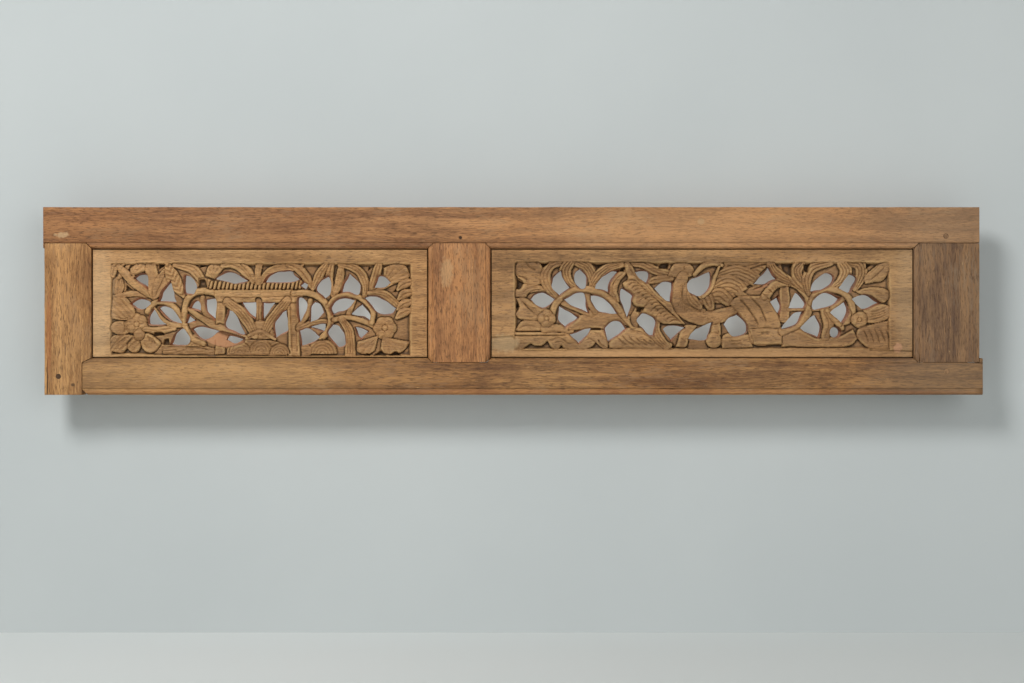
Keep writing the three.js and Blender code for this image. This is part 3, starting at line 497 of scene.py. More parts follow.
class Carving:
    # a board's face as heights above its back, in millimetres; u runs right and v runs up from the
    # lower left corner of the opening that the board fills

    def __init__(self, width, height, look):
        pitch, gap = look["pitch"], look["gap"]
        self.look = look
        self.u = np.linspace(gap, width - gap, round((width - 2 * gap) / pitch) + 1)
        self.v = np.linspace(gap, height - gap, round((height - 2 * gap) / pitch) + 1)
        self.U, self.V = np.meshgrid(self.u, self.v)
        self.H = np.full(self.U.shape, float(look["face"]))
        self.fresh = np.zeros(self.U.shape)
        self.inOpening = np.full(self.U.shape, -99.0)
        seed = look["seed"]
        self.bent = (smoothNoise(self.U, self.V, 9, seed) * 0.5, smoothNoise(self.U, self.V, 9, seed + 1) * 0.5)
        self.chisel = (smoothNoise(self.U, self.V, 3.2, seed + 2) * 0.3
                       + smoothNoise(self.U, self.V, 7, seed + 3) * 0.35)

    def near(self, points, margin):
        # the stretch of the board round the points
        low, high = np.min(points, 0) - margin, np.max(points, 0) + margin
        i0, i1 = np.searchsorted(self.u, [low[0], high[0]])
        j0, j1 = np.searchsorted(self.v, [low[1], high[1]])
        return slice(max(j0 - 1, 0), j1 + 1), slice(max(i0 - 1, 0), i1 + 1)

    def alongPath(self, w, path):
        # distance to the path, which side of it, and how far along it
        U, V = self.U[w] + self.bent[0][w], self.V[w] + self.bent[1][w]
        best = np.full(U.shape, 1e9)
        side = np.ones(U.shape)
        run = np.zeros(U.shape)
        done = 0.0
        for a, b in zip(path, path[1:]):
            e = b - a
            length = math.hypot(*e) + 1e-9
            pu, pv = U - a[0], V - a[1]
            t = np.clip((pu * e[0] + pv * e[1]) / length ** 2, 0, 1)
            d = np.hypot(pu - t * e[0], pv - t * e[1])
            nearer = d < best - 1e-6
            best = np.where(nearer, d, best)
            side = np.where(nearer, np.where(e[0] * pv - e[1] * pu < 0, -1, 1), side)
            run = np.where(nearer, done + t * length, run)
            done += length
        return best, side, run, done

    def insideOf(self, w, outline):
        # distance to a closed outline, above nought inside it
        U, V = self.U[w] + self.bent[0][w] * 0.6, self.V[w] + self.bent[1][w] * 0.6
        best = np.full(U.shape, 1e9)
        inside = np.zeros(U.shape, bool)
        for a, b in zip(outline, np.roll(outline, -1, 0)):
            e = b - a
            pu, pv = U - a[0], V - a[1]
            t = np.clip((pu * e[0] + pv * e[1]) / (e @ e + 1e-12), 0, 1)
            best = np.minimum(best, np.hypot(pu - t * e[0], pv - t * e[1]))
            inside ^= ((a[1] > V) != (b[1] > V)) & (U < e[0] * pv / (e[1] + 1e-12) + a[0])
        return np.where(inside, best, -best)

    def lay(self, w, height, edge, depth, soft=2.0):
        # put a form over what is there, with a cut round it
        H = self.H[w]
        cut = depth * np.clip(1 + edge / soft, 0, 1) ** 1.5
        around = np.maximum(H - cut, np.minimum(H, self.look["ground"] - 1))
        self.H[w] = np.where(edge > 0, height, around)

    def baseOf(self, top, base):
        return self.look["ground"] + 0.55 * (top - self.look["ground"]) if base is None else base

    def band(self, points, width, top=19, base=None, profile="round", grooves=0, groove=1.5, slant=0, gap=3.4,
             depth=1.2):
        # a stem or leaf along a smooth line, with lengthwise grooves or slanted cuts
        path = smoothPath(points)
        widths = np.array(width if isinstance(width, tuple) else (width, width), float)
        w = self.near(path, widths.max() / 2 + 4)
        d, side, run, length = self.alongPath(w, path)
        t = run / length
        half = 0.5 * np.interp(t, np.linspace(0, 1, len(widths)), widths)
        if len(widths) == 3:
            a, m, b = widths
            half = 0.5 * np.where(t < 0.5, a + (m - a) * np.sin(np.pi * np.minimum(t, 0.5)),
                                  b + (m - b) * np.sin(np.pi * np.minimum(1 - t, 0.5)))
        edge = half - d
        s = np.clip(d / np.maximum(half, 0.2), 0, 1)
        base = self.baseOf(top, base)
        if profile == "rib":
            body = 0.7 * (1 - s ** 3.5) ** 0.6 + 0.3 * np.exp(-(s / 0.25) ** 2)
        elif profile == "scoop":
            body = 0.4 + 0.55 * smoothstep(0.1, 0.8, s) - 0.5 * smoothstep(0.88, 1.0, s)
        else:
            body = (1 - s ** 3.2) ** 0.6
        height = base + (top - base) * body
        ends = smoothstep(0.0, 0.1, t) * smoothstep(1.0, 0.9, t)
        for k in range(grooves):
            at = -0.74 + 1.48 * (k + 0.5) / grooves if grooves > 1 else 0
            height = height - groove * np.exp(-((side * s - at) * half / 0.85) ** 2) * (0.3 + 0.7 * ends)
        if slant:
            phase = (run + d * abs(slant) + (0 if slant > 0 else side * d)) / gap
            height = height - groove * (0.5 + 0.5 * np.cos(2 * np.pi * phase)) ** 2 * smoothstep(0, 2, edge)
        self.lay(w, height, edge, depth)

    def fan(self, tip, spread, count, top=18):
        # a shell: ribs that open out from one point to the ends of an arc through the places given
        arc = smoothPath(spread, 10)
        centre = np.array(tip, float)
        outline = np.vstack([centre, arc])
        w = self.near(outline, 5)
        edge = self.insideOf(w, outline)
        du, dv = self.U[w] - centre[0], self.V[w] - centre[1]
        angles = np.unwrap(np.arctan2(arc[:, 1] - centre[1], arc[:, 0] - centre[0]))
        middle = angles[len(angles) // 2]
        angle = (np.arctan2(dv, du) - middle + np.pi) % (2 * np.pi) - np.pi + middle
        share = np.clip((angle - angles[0]) / (angles[-1] - angles[0]), 0, 1)
        r = np.hypot(du, dv) / np.hypot(*(arc[len(arc) // 2] - centre))
        base = self.baseOf(top, None)
        ribs = np.abs(np.sin(np.pi * share * count)) ** 0.6
        height = base + (top - base) * (0.45 + 0.55 * ribs) * np.clip(edge / 4, 0, 1) ** 0.4
        self.lay(w, height - 1.2 * smoothstep(0.35, 0.0, r), edge, 1.6)

    def arcs(self, centre, radius, count, top=18, start=0, end=360, groove=1.2):
        # a dome cut with rings round its centre
        c = np.array(centre, float)
        w = self.near(np.array([c - radius, c + radius]), 4)
        du, dv = self.U[w] - c[0], self.V[w] - c[1]
        d = np.hypot(du, dv)
        angle = np.degrees(np.arctan2(dv, du)) % 360
        span = (end - start) % 360 or 360
        edge = np.where(((angle - start) % 360) <= span, radius - d, -2)
        base = self.baseOf(top, None)
        height = base + (top - base) * (1 - np.clip(d / radius, 0, 1) ** 3) ** 0.6
        rings = (0.5 + 0.5 * np.cos(2 * np.pi * d / radius * count + 0.6)) ** 2
        self.lay(w, height - groove * rings, edge, 1.6)

    def patch(self, points, top=17, base=None, rise=4.0, square=False, grooves=0, angle=0, groove=1.3, depth=1.6):
        # a shape with its own outline, easing to its rim, with straight cuts across it if asked
        outline = np.array(points, float) if square else smoothOutline(points)
        w = self.near(outline, 4)
        edge = self.insideOf(w, outline)
        base = self.baseOf(top, base)
        k = np.clip(edge / rise, 0, 1)
        height = base + (top - base) * np.sqrt(1 - (1 - k) ** 2)
        if grooves:
            a = math.radians(angle)
            across = (self.V[w] * math.cos(a) - self.U[w] * math.sin(a)) / grooves
            wave = across + 0.25 * np.sin(self.U[w] / 9)
            height = height - groove * (0.5 + 0.5 * np.cos(2 * np.pi * wave)) ** 2 * k
        self.lay(w, height, edge, depth)

    def rosette(self, centre, radius, petals, top=18, turn=0.0, button=0.27):
        # a flower of rounded petals round a button
        c = np.array(centre, float)
        w = self.near(np.array([c - radius, c + radius]), 4)
        du, dv = self.U[w] - c[0], self.V[w] - c[1]
        d = np.hypot(du, dv)
        a = np.arctan2(dv, du) + turn
        lobe = np.abs(np.cos(petals * a / 2))
        rim = radius * (0.88 + 0.12 * lobe)
        base = self.baseOf(top, None) - 1
        height = base + (top - base) * (1 - np.clip(d / rim, 0, 1) ** 3) ** 0.6 * (0.5 + 0.5 * lobe ** 0.4)
        if button:
            size = button * radius
            height = np.where(d < size, top + 0.4 - 2.0 * (d / size) ** 3, height)
            height = height - 1.0 * np.exp(-((d - size) / 0.8) ** 2)
        self.lay(w, height, rim - d, 1.6)

    def cut(self, points, width=1.6, depth=1.6):
        # one cut of the gouge
        path = smoothPath(points)
        w = self.near(path, width * 2 + 1)
        d, _, run, length = self.alongPath(w, path)
        fade = smoothstep(0, 0.15, run / length) * smoothstep(1, 0.85, run / length)
        self.H[w] -= depth * np.exp(-(d / (width * 0.6)) ** 2) * (0.3 + 0.7 * fade)

    def startField(self, points):
        # the part of the face that is carved, inside its margins
        outline = np.array(points, float)
        self.fieldEdge = self.insideOf((slice(None), slice(None)), outline)
        self.worked = smoothstep(-1, 3, self.fieldEdge)
        self.flat = self.H.copy()
        self.sink(points, slope=4.5, square=True)

    def sink(self, points, to=None, slope=2.2, square=False):
        # take a field down to the ground
        outline = np.array(points, float) if square else smoothOutline(points)
        w = self.near(outline, 4)
        k = smoothstep(-0.3, slope, self.insideOf(w, outline))
        self.H[w] = self.H[w] * (1 - k) + (self.look["ground"] if to is None else to) * k

    def slope(self, points, high, low, top=17, bottom=5):
        # a chamfer cut back to fresh wood, falling from one place to another
        outline = smoothOutline(points)
        w = self.near(outline, 3)
        edge = self.insideOf(w, outline)
        du, dv = low[0] - high[0], low[1] - high[1]
        t = np.clip(((self.U[w] - high[0]) * du + (self.V[w] - high[1]) * dv) / (du * du + dv * dv), 0, 1)
        self.H[w] = np.where(edge > 0, np.minimum(self.H[w], top + (bottom - top) * t), self.H[w])
        self.fresh[w] = np.maximum(self.fresh[w], smoothstep(-0.5, 1.5, edge))

    def open(self, points, square=False):
        # an opening right through the board
        outline = np.array(points, float) if square else smoothOutline(points)
        w = self.near(outline, 12)
        self.inOpening[w] = np.maximum(self.inOpening[w], self.insideOf(w, outline) + self.look["openWider"])

    def finish(self):
        # the gouge leaves small facets, and the rims of the openings are worn away
        look = self.look
        rim = smoothstep(look["rimWidth"], 0, -self.inOpening)
        H = self.H - look["rimDrop"] * rim * (self.H - look["ground"]).clip(0) / 8
        keep = smoothstep(-1.2, 0.8, self.fieldEdge)
        self.H = np.maximum(H * keep + self.flat * (1 - keep) + self.chisel * self.worked, 3.0)


def boardMesh(name, r, corner):
    # front, back and the walls of the openings, whose edges are drawn smooth; corner is where u and v start
    H, d = r.H, r.inOpening
    rows, cols = H.shape
    pitch = r.u[1] - r.u[0]
    kept = (d[:-1, :-1] + d[1:, :-1] + d[:-1, 1:] + d[1:, 1:]) < 0
    solid = np.zeros(H.shape, int)
    for dj in (0, 1):
        for di in (0, 1):
            solid[dj:rows - 1 + dj, di:cols - 1 + di] += kept
    inside = np.zeros(H.shape, bool)
    inside[1:-1, 1:-1] = True
    rim = (solid > 0) & (solid < 4) & inside
    gradV, gradU = np.gradient(boxBlur(d, 1), pitch)
    size = np.maximum(np.hypot(gradU, gradV), 0.3)
    shift = np.where(rim, np.clip(d, -pitch, pitch) / size, 0)
    lean = np.where(rim, r.look["lean"] * (1 + smoothNoise(r.U, r.V, 14, r.look["seed"] + 4)), 0)
    U, V = r.U - shift * gradU / size, r.V - shift * gradV / size
    backU, backV = U + lean * gradU / size, V + lean * gradV / size

    # how hollow or proud each point lies against its surroundings; the finish paints dirt and shade into the hollows
    # and wear and highlight onto the crests
    hollow = np.clip((boxBlur(H, 3) - H) / 3.0, -1, 1)
    hollow[np.abs(hollow) < 0.02] = 0
    # how deep below the face each point lies, used to paint shade onto the carved ground
    sunk = np.clip((r.look["face"] - H) / 9, 0, 1) * r.worked
    sunk[sunk < 0.02] = 0

    used = solid > 0
    number = np.full(H.shape, -1)
    number[used] = np.arange(used.sum())
    count = int(used.sum())
    back = r.look["back"]
    front = np.stack([U[used], -(back + H[used]), V[used]], 1)
    rear = np.stack([backU[used], np.full(count, -float(back)), backV[used]], 1)
    points = np.vstack([front, rear]) * mm + np.array([corner[0], rearY, corner[1]])

    j, i = np.nonzero(kept)
    quads = np.stack([number[j, i], number[j, i + 1], number[j + 1, i + 1], number[j + 1, i]], 1)
    edges = np.vstack([quads[:, [k, (k + 1) % 4]] for k in range(4)])
    key = np.sort(edges, 1)
    order = np.lexsort((key[:, 1], key[:, 0]))
    same = np.all(key[order][1:] == key[order][:-1], 1)
    lone = np.ones(len(edges), bool)
    lone[order[1:][same]] = False
    lone[order[:-1][same]] = False
    a, b = edges[lone].T
    walls = np.stack([b, a, a + count, b + count], 1)
    faces = np.vstack([quads, walls, quads[:, ::-1] + count])

    mesh = bpy.data.meshes.new(name)
    mesh.vertices.add(len(points))
    mesh.vertices.foreach_set("co", points.astype(np.float32).ravel())
    mesh.loops.add(faces.size)
    mesh.loops.foreach_set("vertex_index", faces.astype(np.int32).ravel())
    mesh.polygons.add(len(faces))
    mesh.polygons.foreach_set("loop_start", np.arange(0, faces.size, 4, dtype=np.int32))
    mesh.polygons.foreach_set("loop_total", np.full(len(faces), 4, dtype=np.int32))
    which = np.zeros(len(faces), np.int32)
    which[len(quads):len(quads) + len(walls)] = 1
    mesh.polygons.foreach_set("material_index", which)
    mesh.update(calc_edges=True)
    for label, values in (("hollow", hollow), ("sunk", sunk), ("fresh", r.fresh)):
        layer = mesh.attributes.new(label, "FLOAT", "POINT")
        layer.data.foreach_set("value", np.concatenate([values[used], np.zeros(count)]).astype(np.float32))
    return thinned(mesh, r.look["mostFaces"])


def thinned(mesh, most):
    # fewer faces where the mesh is flat, which is where leaving them out changes nothing
    carrier = addObject("thinning", mesh)
    modifier = carrier.modifiers.new("thin", "DECIMATE")
    modifier.ratio = most / (2 * len(mesh.polygons))
    modifier.use_collapse_triangulate = True
    carried = carrier.evaluated_get(bpy.context.evaluated_depsgraph_get())
    result = bpy.data.meshes.new_from_object(carried)
    bpy.data.objects.remove(carrier)
    result.name = mesh.name
    return result


def addTongue(mesh, look, low, high):
    # the thin edge strips that sit in the grooves of the frame; the lower left corner is broken away
    near, far = rearY - look["tongueNear"] * mm, rearY - (look["tongueNear"] + look["tongueThick"]) * mm
    inner = (look["tongueReach"] + look["gap"] + 1) * mm
    broken = low[2] + look["brokenCorner"] * mm
    x0, x1, z0, z1 = low[0], high[0], low[2], high[2]
    strips = [(x0, x0 + inner, broken, z1), (x1 - inner, x1, z0, z1),
              (x0 + inner, x1 - inner, z0, z0 + inner), (x0 + inner, x1 - inner, z1 - inner, z1)]
    work = bmesh.new()
    work.from_mesh(mesh)
    for left, right, foot, top in strips:
        made = bmesh.ops.create_cube(work, size=1)["verts"]
        for v in made:
            v.co = Vector((left if v.co.x < 0 else right, far if v.co.y < 0 else near, foot if v.co.z < 0 else top))
    work.to_mesh(mesh)
    work.free()


def addBoard(node, r, look):
    # the opening's lower left corner lies a tongue's reach inside the solid's box
    low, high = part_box(node)
    reach = look["tongueReach"] * mm
    r.finish()
    mesh = boardMesh(node, r, (low[0] + reach, low[2] + reach))
    addTongue(mesh, look, low, high)
    face = woodMaterial(node + "Wood", look, carved=True)
    # the walls of the openings take a lighter, oranger wood: partly the cut wood's own colour, partly a painted glow
    # of light
    walls = woodMaterial(node + "Walls", look["walls"])
    addPiece("worked_" + node, mesh, node, [face, walls], sharpAngle=50)


def startBoard(node, look):
    low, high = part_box(node)
    width = (high[0] - low[0]) / mm - 2 * look["tongueReach"]
    height = (high[2] - low[2]) / mm - 2 * look["tongueReach"]
    return Carving(width, height, look)


# the left board

leftBoard = wood(light="c89b68", dark="8f683c", shift=2.2, stain=0.35, seed=3, mostFaces=185000, pitch=1.0, gap=2.0, back=8.0,
                 face=20.0, ground=12.5, rimWidth=3.0, rimDrop=2.0, lean=1.6, openWider=0.9, tongueReach=3.0, tongueNear=11.0,
                 tongueThick=6.0, brokenCorner=24.0, marks=[
                     {"at": (-662, -120), "size": (22, 90), "colour": "dfc196", "soft": 0.6, "strength": 0.3}],
                 # lighter, oranger wood for the opening walls: partly own colour, partly painted light
                 walls=wood(light="c9875a", dark="84532f", shift=3.1, dry=0.3, dryColour="dca078"))
leftOpenings = [
    [(67, 128), (74, 134), (84, 135), (88, 130), (89, 110), (80, 117)],
    [(61, 87), (69, 94), (77, 96), (86, 93), (93, 87), (85, 81), (77, 78), (69, 80)],
    [(105, 91), (111, 108), (125, 123), (133, 89)],
    [(146, 130), (152, 132), (161, 125), (166, 114), (162, 103), (154, 102), (147, 103)],
    [(106, 80), (112, 83), (122, 81), (131, 74), (143, 56), (132, 58), (120, 63), (110, 73)],
    [(98, 79), (91, 69), (89, 60), (93, 53), (118, 53), (108, 62)],
    [(153, 70), (165, 60), (150, 56)],
    [(155, 80), (160, 89), (167, 92), (172, 86), (172, 75)],
    [(180, 94), (190, 95), (198, 91), (196, 60), (190, 67), (182, 77)],
    [(157, 46), (165, 50), (178, 51), (202, 44), (179, 29)],
    [(124, 21), (130, 36), (137, 44), (146, 46), (156, 31), (149, 21)],
    [(217, 77), (225, 73), (233, 61), (244, 38), (235, 38), (214, 48), (213, 62)],
    [(197, 127), (205, 134), (213, 139), (227, 136), (251, 124), (240, 120), (225, 120)],
    [(274, 121), (280, 131), (290, 136), (316, 140), (323, 133), (333, 126), (315, 121)],
    [(239, 89), (261, 89), (261, 76), (260, 63), (249, 72)],
    [(272, 89), (291, 89), (282, 76), (272, 61)],
    [(292, 32), (290, 48), (293, 60), (302, 73), (309, 77), (312, 55), (311, 42), (300, 37)],
    [(214, 29), (220, 37), (239, 30), (228, 24)],
    [(328, 94), (334, 97), (343, 88), (341, 75), (332, 58), (328, 70)],
    [(349, 80), (355, 90), (363, 87), (371, 73), (360, 63), (348, 58)],
    [(358, 109), (365, 123), (377, 132), (381, 125), (380, 104), (371, 95)],
    [(331, 44), (342, 48), (353, 44), (364, 34), (352, 25), (334, 20)],
    [(349, 50), (362, 54), (372, 55), (372, 44), (366, 43)],
    [(384, 54), (393, 51), (402, 41), (406, 25), (402, 19), (390, 20), (376, 40)],
    [(380, 80), (388, 92), (398, 97), (408, 97), (419, 92), (408, 79), (384, 69)],
    [(397, 104), (402, 121), (411, 135), (421, 127), (428, 117), (427, 106), (423, 101), (410, 105)],
    [(415, 71), (431, 87), (438, 79), (444, 68), (443, 61), (432, 66)],
    [(420, 50), (430, 49), (442, 43), (430, 30), (424, 37)],
    [(436, 96), (445, 100), (458, 99), (471, 91), (485, 80), (480, 71), (470, 69), (457, 72), (447, 81)],
    [(451, 113), (456, 129), (462, 132), (470, 128), (477, 121), (466, 113)],
    [(333, 116), (338, 122), (344, 118), (341, 111)],
]


def carveLeftBoard(r):
    # the field inside the margins
    field = [(30, 4), (29, 60), (30, 110), (31, 151), (120, 152), (260, 151), (400, 151), (510, 151),
             (511, 100), (509, 50), (510, 3), (400, 1), (300, 1), (200, 2), (100, 4), (60, 6)]
    r.startField(field)
    low = r.look["ground"]

    # foot of the board, left to right
    r.band([(104, 13), (150, 15), (197, 9)], (16, 20, 12), 16, grooves=2)
    r.arcs((163, 18), 20, 4, 18, start=0, end=180)
    r.patch([(112, 6), (196, 5), (196, 13), (150, 16), (112, 18)], 16, grooves=4.5, angle=8)
    r.patch([(27, 15), (32, 10), (48, 8), (56, 16), (62, 10), (72, 9), (78, 20), (74, 30), (64, 36), (50, 37),
             (34, 36), (27, 27)], 18, grooves=6.5, angle=48)
    r.cut([(56, 16), (57, 24), (66, 34)], 2.0, 2.2)
    r.cut([(40, 22), (54, 33)], 2, 1.6)
    r.patch([(78, 20), (84, 11), (92, 8), (100, 10), (106, 16), (110, 24), (100, 33), (88, 40), (78, 32)], 19)
    for k in range(3):
        r.cut([(88 + 4 * k, 36 - 2 * k), (93 + 4 * k, 27 - 2 * k)], 2.2, 2.4)
    r.cut([(82, 24), (92, 14)], 1.5, 1.2)
    r.patch([(28, 48), (34, 40), (46, 37), (56, 39), (63, 45), (60, 56), (46, 59), (34, 57)], 17)
    r.cut([(50, 58), (52, 48), (50, 40)], 2, 2)
    r.rosette((71, 54), 18, 6, 18, turn=0.4)
    r.arcs((75, 37), 9.5, 0.6, 17)
    r.band([(84, 46), (104, 44), (130, 48)], (8, 12, 9), 17, grooves=1)

    # left edge
    r.patch([(30, 66), (36, 62), (52, 60), (66, 66), (68, 76), (60, 90), (48, 99), (34, 98), (31, 84)], 17,
            grooves=7.5, angle=-42)
    r.cut([(34, 68), (48, 62), (62, 66)], 1.6, 1.6)
    r.patch([(31, 104), (40, 101), (49, 108), (50, 120), (46, 130), (34, 128)], 15, grooves=6, angle=84)
    r.band([(88, 99), (70, 103), (52, 101), (34, 99)], (6, 9, 4), 15)
    r.band([(33, 131), (36, 146), (50, 151)], (7, 13, 6), 18, grooves=1)
    r.band([(42, 128), (50, 138), (58, 148)], (6, 10, 5), 16)
    r.band([(94, 99), (78, 112), (62, 126), (42, 146)], (7, 16, 9), 19, profile="rib")
    r.fan((62, 131), [(60, 143), (72, 151), (88, 149), (88, 140)], 4, 18)
    r.band([(98, 96), (96, 122), (93, 152)], (7, 22, 15), 17, profile="scoop")
    r.band([(100, 98), (110, 120), (125, 147)], (8, 22, 8), 16, profile="scoop", grooves=1)
    r.band([(118, 153), (130, 126), (146, 98)], (7, 22, 6), 19, slant=0.9, gap=8.5, groove=2.2)
    r.band([(132, 149), (158, 143), (172, 128), (180, 110)], (9, 16, 8), 17, grooves=2)
    r.patch([(168, 110), (187, 110), (182, 127), (170, 128)], low + 1, base=low)
    r.fan((196, 126), [(180, 131), (186, 147), (198, 149), (212, 146)], 5, 18)

    # stems at the left
    r.band([(176, 97), (178, 78), (188, 64), (206, 51)], (8, 9, 8), 15)
    r.band([(153, 79), (173, 65), (203, 49), (248, 31)], (7, 9, 15, 12, 8), 18, profile="rib")
    r.band([(98, 80), (106, 67), (117, 57), (130, 53), (148, 52)], (7, 8, 9), 17)
    r.band([(88, 74), (93, 83), (105, 90), (120, 88), (134, 78), (143, 62), (150, 47), (160, 31), (178, 23)],
           9, 19)
    r.band([(148, 55), (148, 80), (153, 95), (165, 105), (182, 107), (204, 103)], (9, 10, 12), 20)

    # the table
    r.patch([(183, 110), (337, 109), (338, 121), (250, 121.5), (200, 122), (184, 127)], 15, rise=3)
    for k in range(23):
        u = 190 + k * 6.5
        lift = 1.5 * ((k - 11) / 11) ** 2
        r.band([(u - 1, 110.5 + lift), (u + 1.2, 120 + lift)], (4.4, 5.4, 4.4), 18.5, base=14, depth=3.4)
    r.patch([(197, 53), (204, 56), (213, 53), (213, 96), (197, 96)], 19, rise=2, square=True)
    r.patch([(196, 5), (212, 6), (213, 28), (205, 32), (197, 29)], 17, rise=2, square=True)
    r.patch([(311, 96), (329, 96), (331, 50), (333, 3), (314, 3), (313, 50)], 19, rise=2, square=True)
    r.cut([(316, 92), (318, 50), (320, 5)], 1.6, 1.6)
    r.cut([(325, 92), (327, 50), (328, 5)], 1.6, 1.4)
    r.patch([(196, 89), (330, 88), (332, 98), (330, 109), (196, 109)], 20, rise=2.2, square=True)
    r.cut([(198, 97), (250, 96), (300, 98), (328, 97)], 1.8, 1.6)
    r.cut([(232, 93), (270, 92), (326, 94)], 1.5, 1.2)
    r.cut([(198, 105), (260, 104.5), (328, 106)], 1.4, 0.8)

    # under the table
    r.patch([(215, 4), (312, 4), (311, 14), (300, 24), (286, 28), (268, 30), (250, 29), (232, 25), (216, 15)], 16,
            rise=5)
    r.arcs((236, 8), 18, 4, 16, start=0, end=180)
    r.arcs((270, 10), 19, 4, 17, start=0, end=180)
    r.arcs((300, 6), 17, 4, 16, start=0, end=180)
    r.band([(266, 92), (266, 60), (267, 48)], (11, 9, 12), 15, grooves=1)
    r.patch([(250, 31), (291, 30), (289, 44), (282, 56), (268, 60), (256, 56), (251, 45)], 17, rise=7)
    r.band([(216, 90), (236, 74), (250, 56), (260, 36)], (15, 18, 12), 19, grooves=3)
    r.band([(312, 92), (296, 72), (284, 56), (276, 40)], (15, 17, 12), 19, grooves=3)
    r.band([(250, 36), (270, 42), (292, 30)], (5, 7, 5), 18)

    # over the table
    r.band([(208, 147), (225, 149), (242, 140), (257, 121)], (7, 12, 14, 7), 18, grooves=1)
    r.band([(240, 150), (252, 140), (260, 123)], (5, 8, 5), 17)
    r.band([(271, 122), (279, 135), (294, 143), (318, 144), (335, 150)], (8, 12, 13, 8), 18, profile="scoop")
    r.band([(266, 121), (265, 136), (267, 151)], (10, 11, 12), 18, profile="rib")

    # right of the table
    r.band([(312, 149), (326, 145), (340, 132), (353, 110)], (7, 14, 14, 6), 18, grooves=1)
    r.band([(376, 151), (364, 134), (353, 110)], (9, 15, 6), 19, grooves=2)
    r.band([(349, 92), (346, 76), (338, 62), (329, 50)], (8, 9, 8), 17)
    r.band([(374, 58), (352, 56), (329, 46)], (8, 10, 8), 17, grooves=1)
    r.band([(322, 103), (345, 104), (362, 97), (375, 84), (381, 66), (380, 50), (372, 37), (360, 28)],
           (11, 10, 10), 20)
    r.band([(386, 98), (379, 122), (383, 151)], (7, 13, 9), 18, grooves=1)
    r.band([(386, 98), (395, 122), (399, 151)], (7, 14, 9), 19, profile="rib")
    r.band([(419, 93), (410, 70)], (8, 9), 16)
    r.band([(386, 61), (408, 65), (430, 60), (450, 52)], (8, 8, 9), 18)
    r.band([(398, 62), (411, 42), (413, 4)], (10, 15, 18), 18, grooves=3)
    r.band([(377, 82), (388, 95), (405, 101), (425, 98), (440, 87), (449, 74), (447, 56)], (8, 9, 9), 20)
    r.band([(396, 150), (414, 146), (429, 136), (437, 117), (436, 98)], (9, 14, 15, 8), 18, grooves=2)
    r.band([(459, 152), (453, 130), (446, 103)], (11, 15, 7), 19, grooves=2)
    r.band([(453, 106), (470, 116), (492, 127)], (7, 8, 8), 17)
    r.fan((464, 116), [(466, 144), (482, 151), (500, 148), (508, 132), (500, 122)], 5, 18)
    r.band([(443, 104), (468, 101), (492, 82)], (8, 13, 9), 18, grooves=2)
    for k, (u, v) in enumerate([(498, 116), (499, 100), (498, 84), (496, 70)]):
        r.band([(u + 12, v + 6), (u, v + 2), (u - 9, v - 6)], (10, 15, 6), 18, grooves=1)
    r.rosette((468, 48), 19, 6, 18)
    r.fan((458, 36), [(424, 26), (424, 10), (440, 6), (452, 12)], 4, 17)
    r.fan((464, 34), [(460, 10), (478, 6), (496, 10), (509, 26)], 5, 17)
    r.arcs((368, 6), 24, 5, 17, start=0, end=180)
    r.patch([(334, 3), (350, 4), (350, 16), (340, 24), (334, 20)], 15)

    # deep hollows and the openings
    for hollow in ([(105, 140), (120, 150), (106, 151)], [(170, 143), (186, 148), (172, 150)],
                   [(168, 112), (184, 112), (180, 126), (170, 126)], [(440, 138), (448, 145), (441, 147)],
                   [(52, 106), (66, 108), (54, 118)], [(97, 33), (116, 36), (112, 42), (98, 42)],
                   [(112, 20), (124, 20), (122, 32), (114, 30)], [(478, 104), (488, 106), (486, 112)],
                   [(433, 3), (447, 3), (440, 8)], [(447, 3), (472, 3), (462, 14)], [(472, 3), (496, 3), (485, 11)]):
        r.sink(hollow, to=4.5, slope=3)
    for opening in leftOpenings:
        r.open(opening)
    r.slope([(180, 28), (200, 44), (245, 33), (241, 24), (215, 17), (194, 21)], (190, 20), (212, 40))
    r.slope([(93, 61), (93, 53), (112, 52), (116, 56), (104, 58)], (100, 50), (102, 60))
    r.slope([(150, 62), (166, 62), (166, 56), (152, 55)], (158, 54), (159, 62))
    r.slope([(164, 92), (174, 90), (173, 78), (169, 80)], (175, 86), (166, 84))


leftCarving = startBoard("left_carved_panel", leftBoard)
carveLeftBoard(leftCarving)
addBoard("left_carved_panel", leftCarving, leftBoard)
print("left board carved")


# the right board

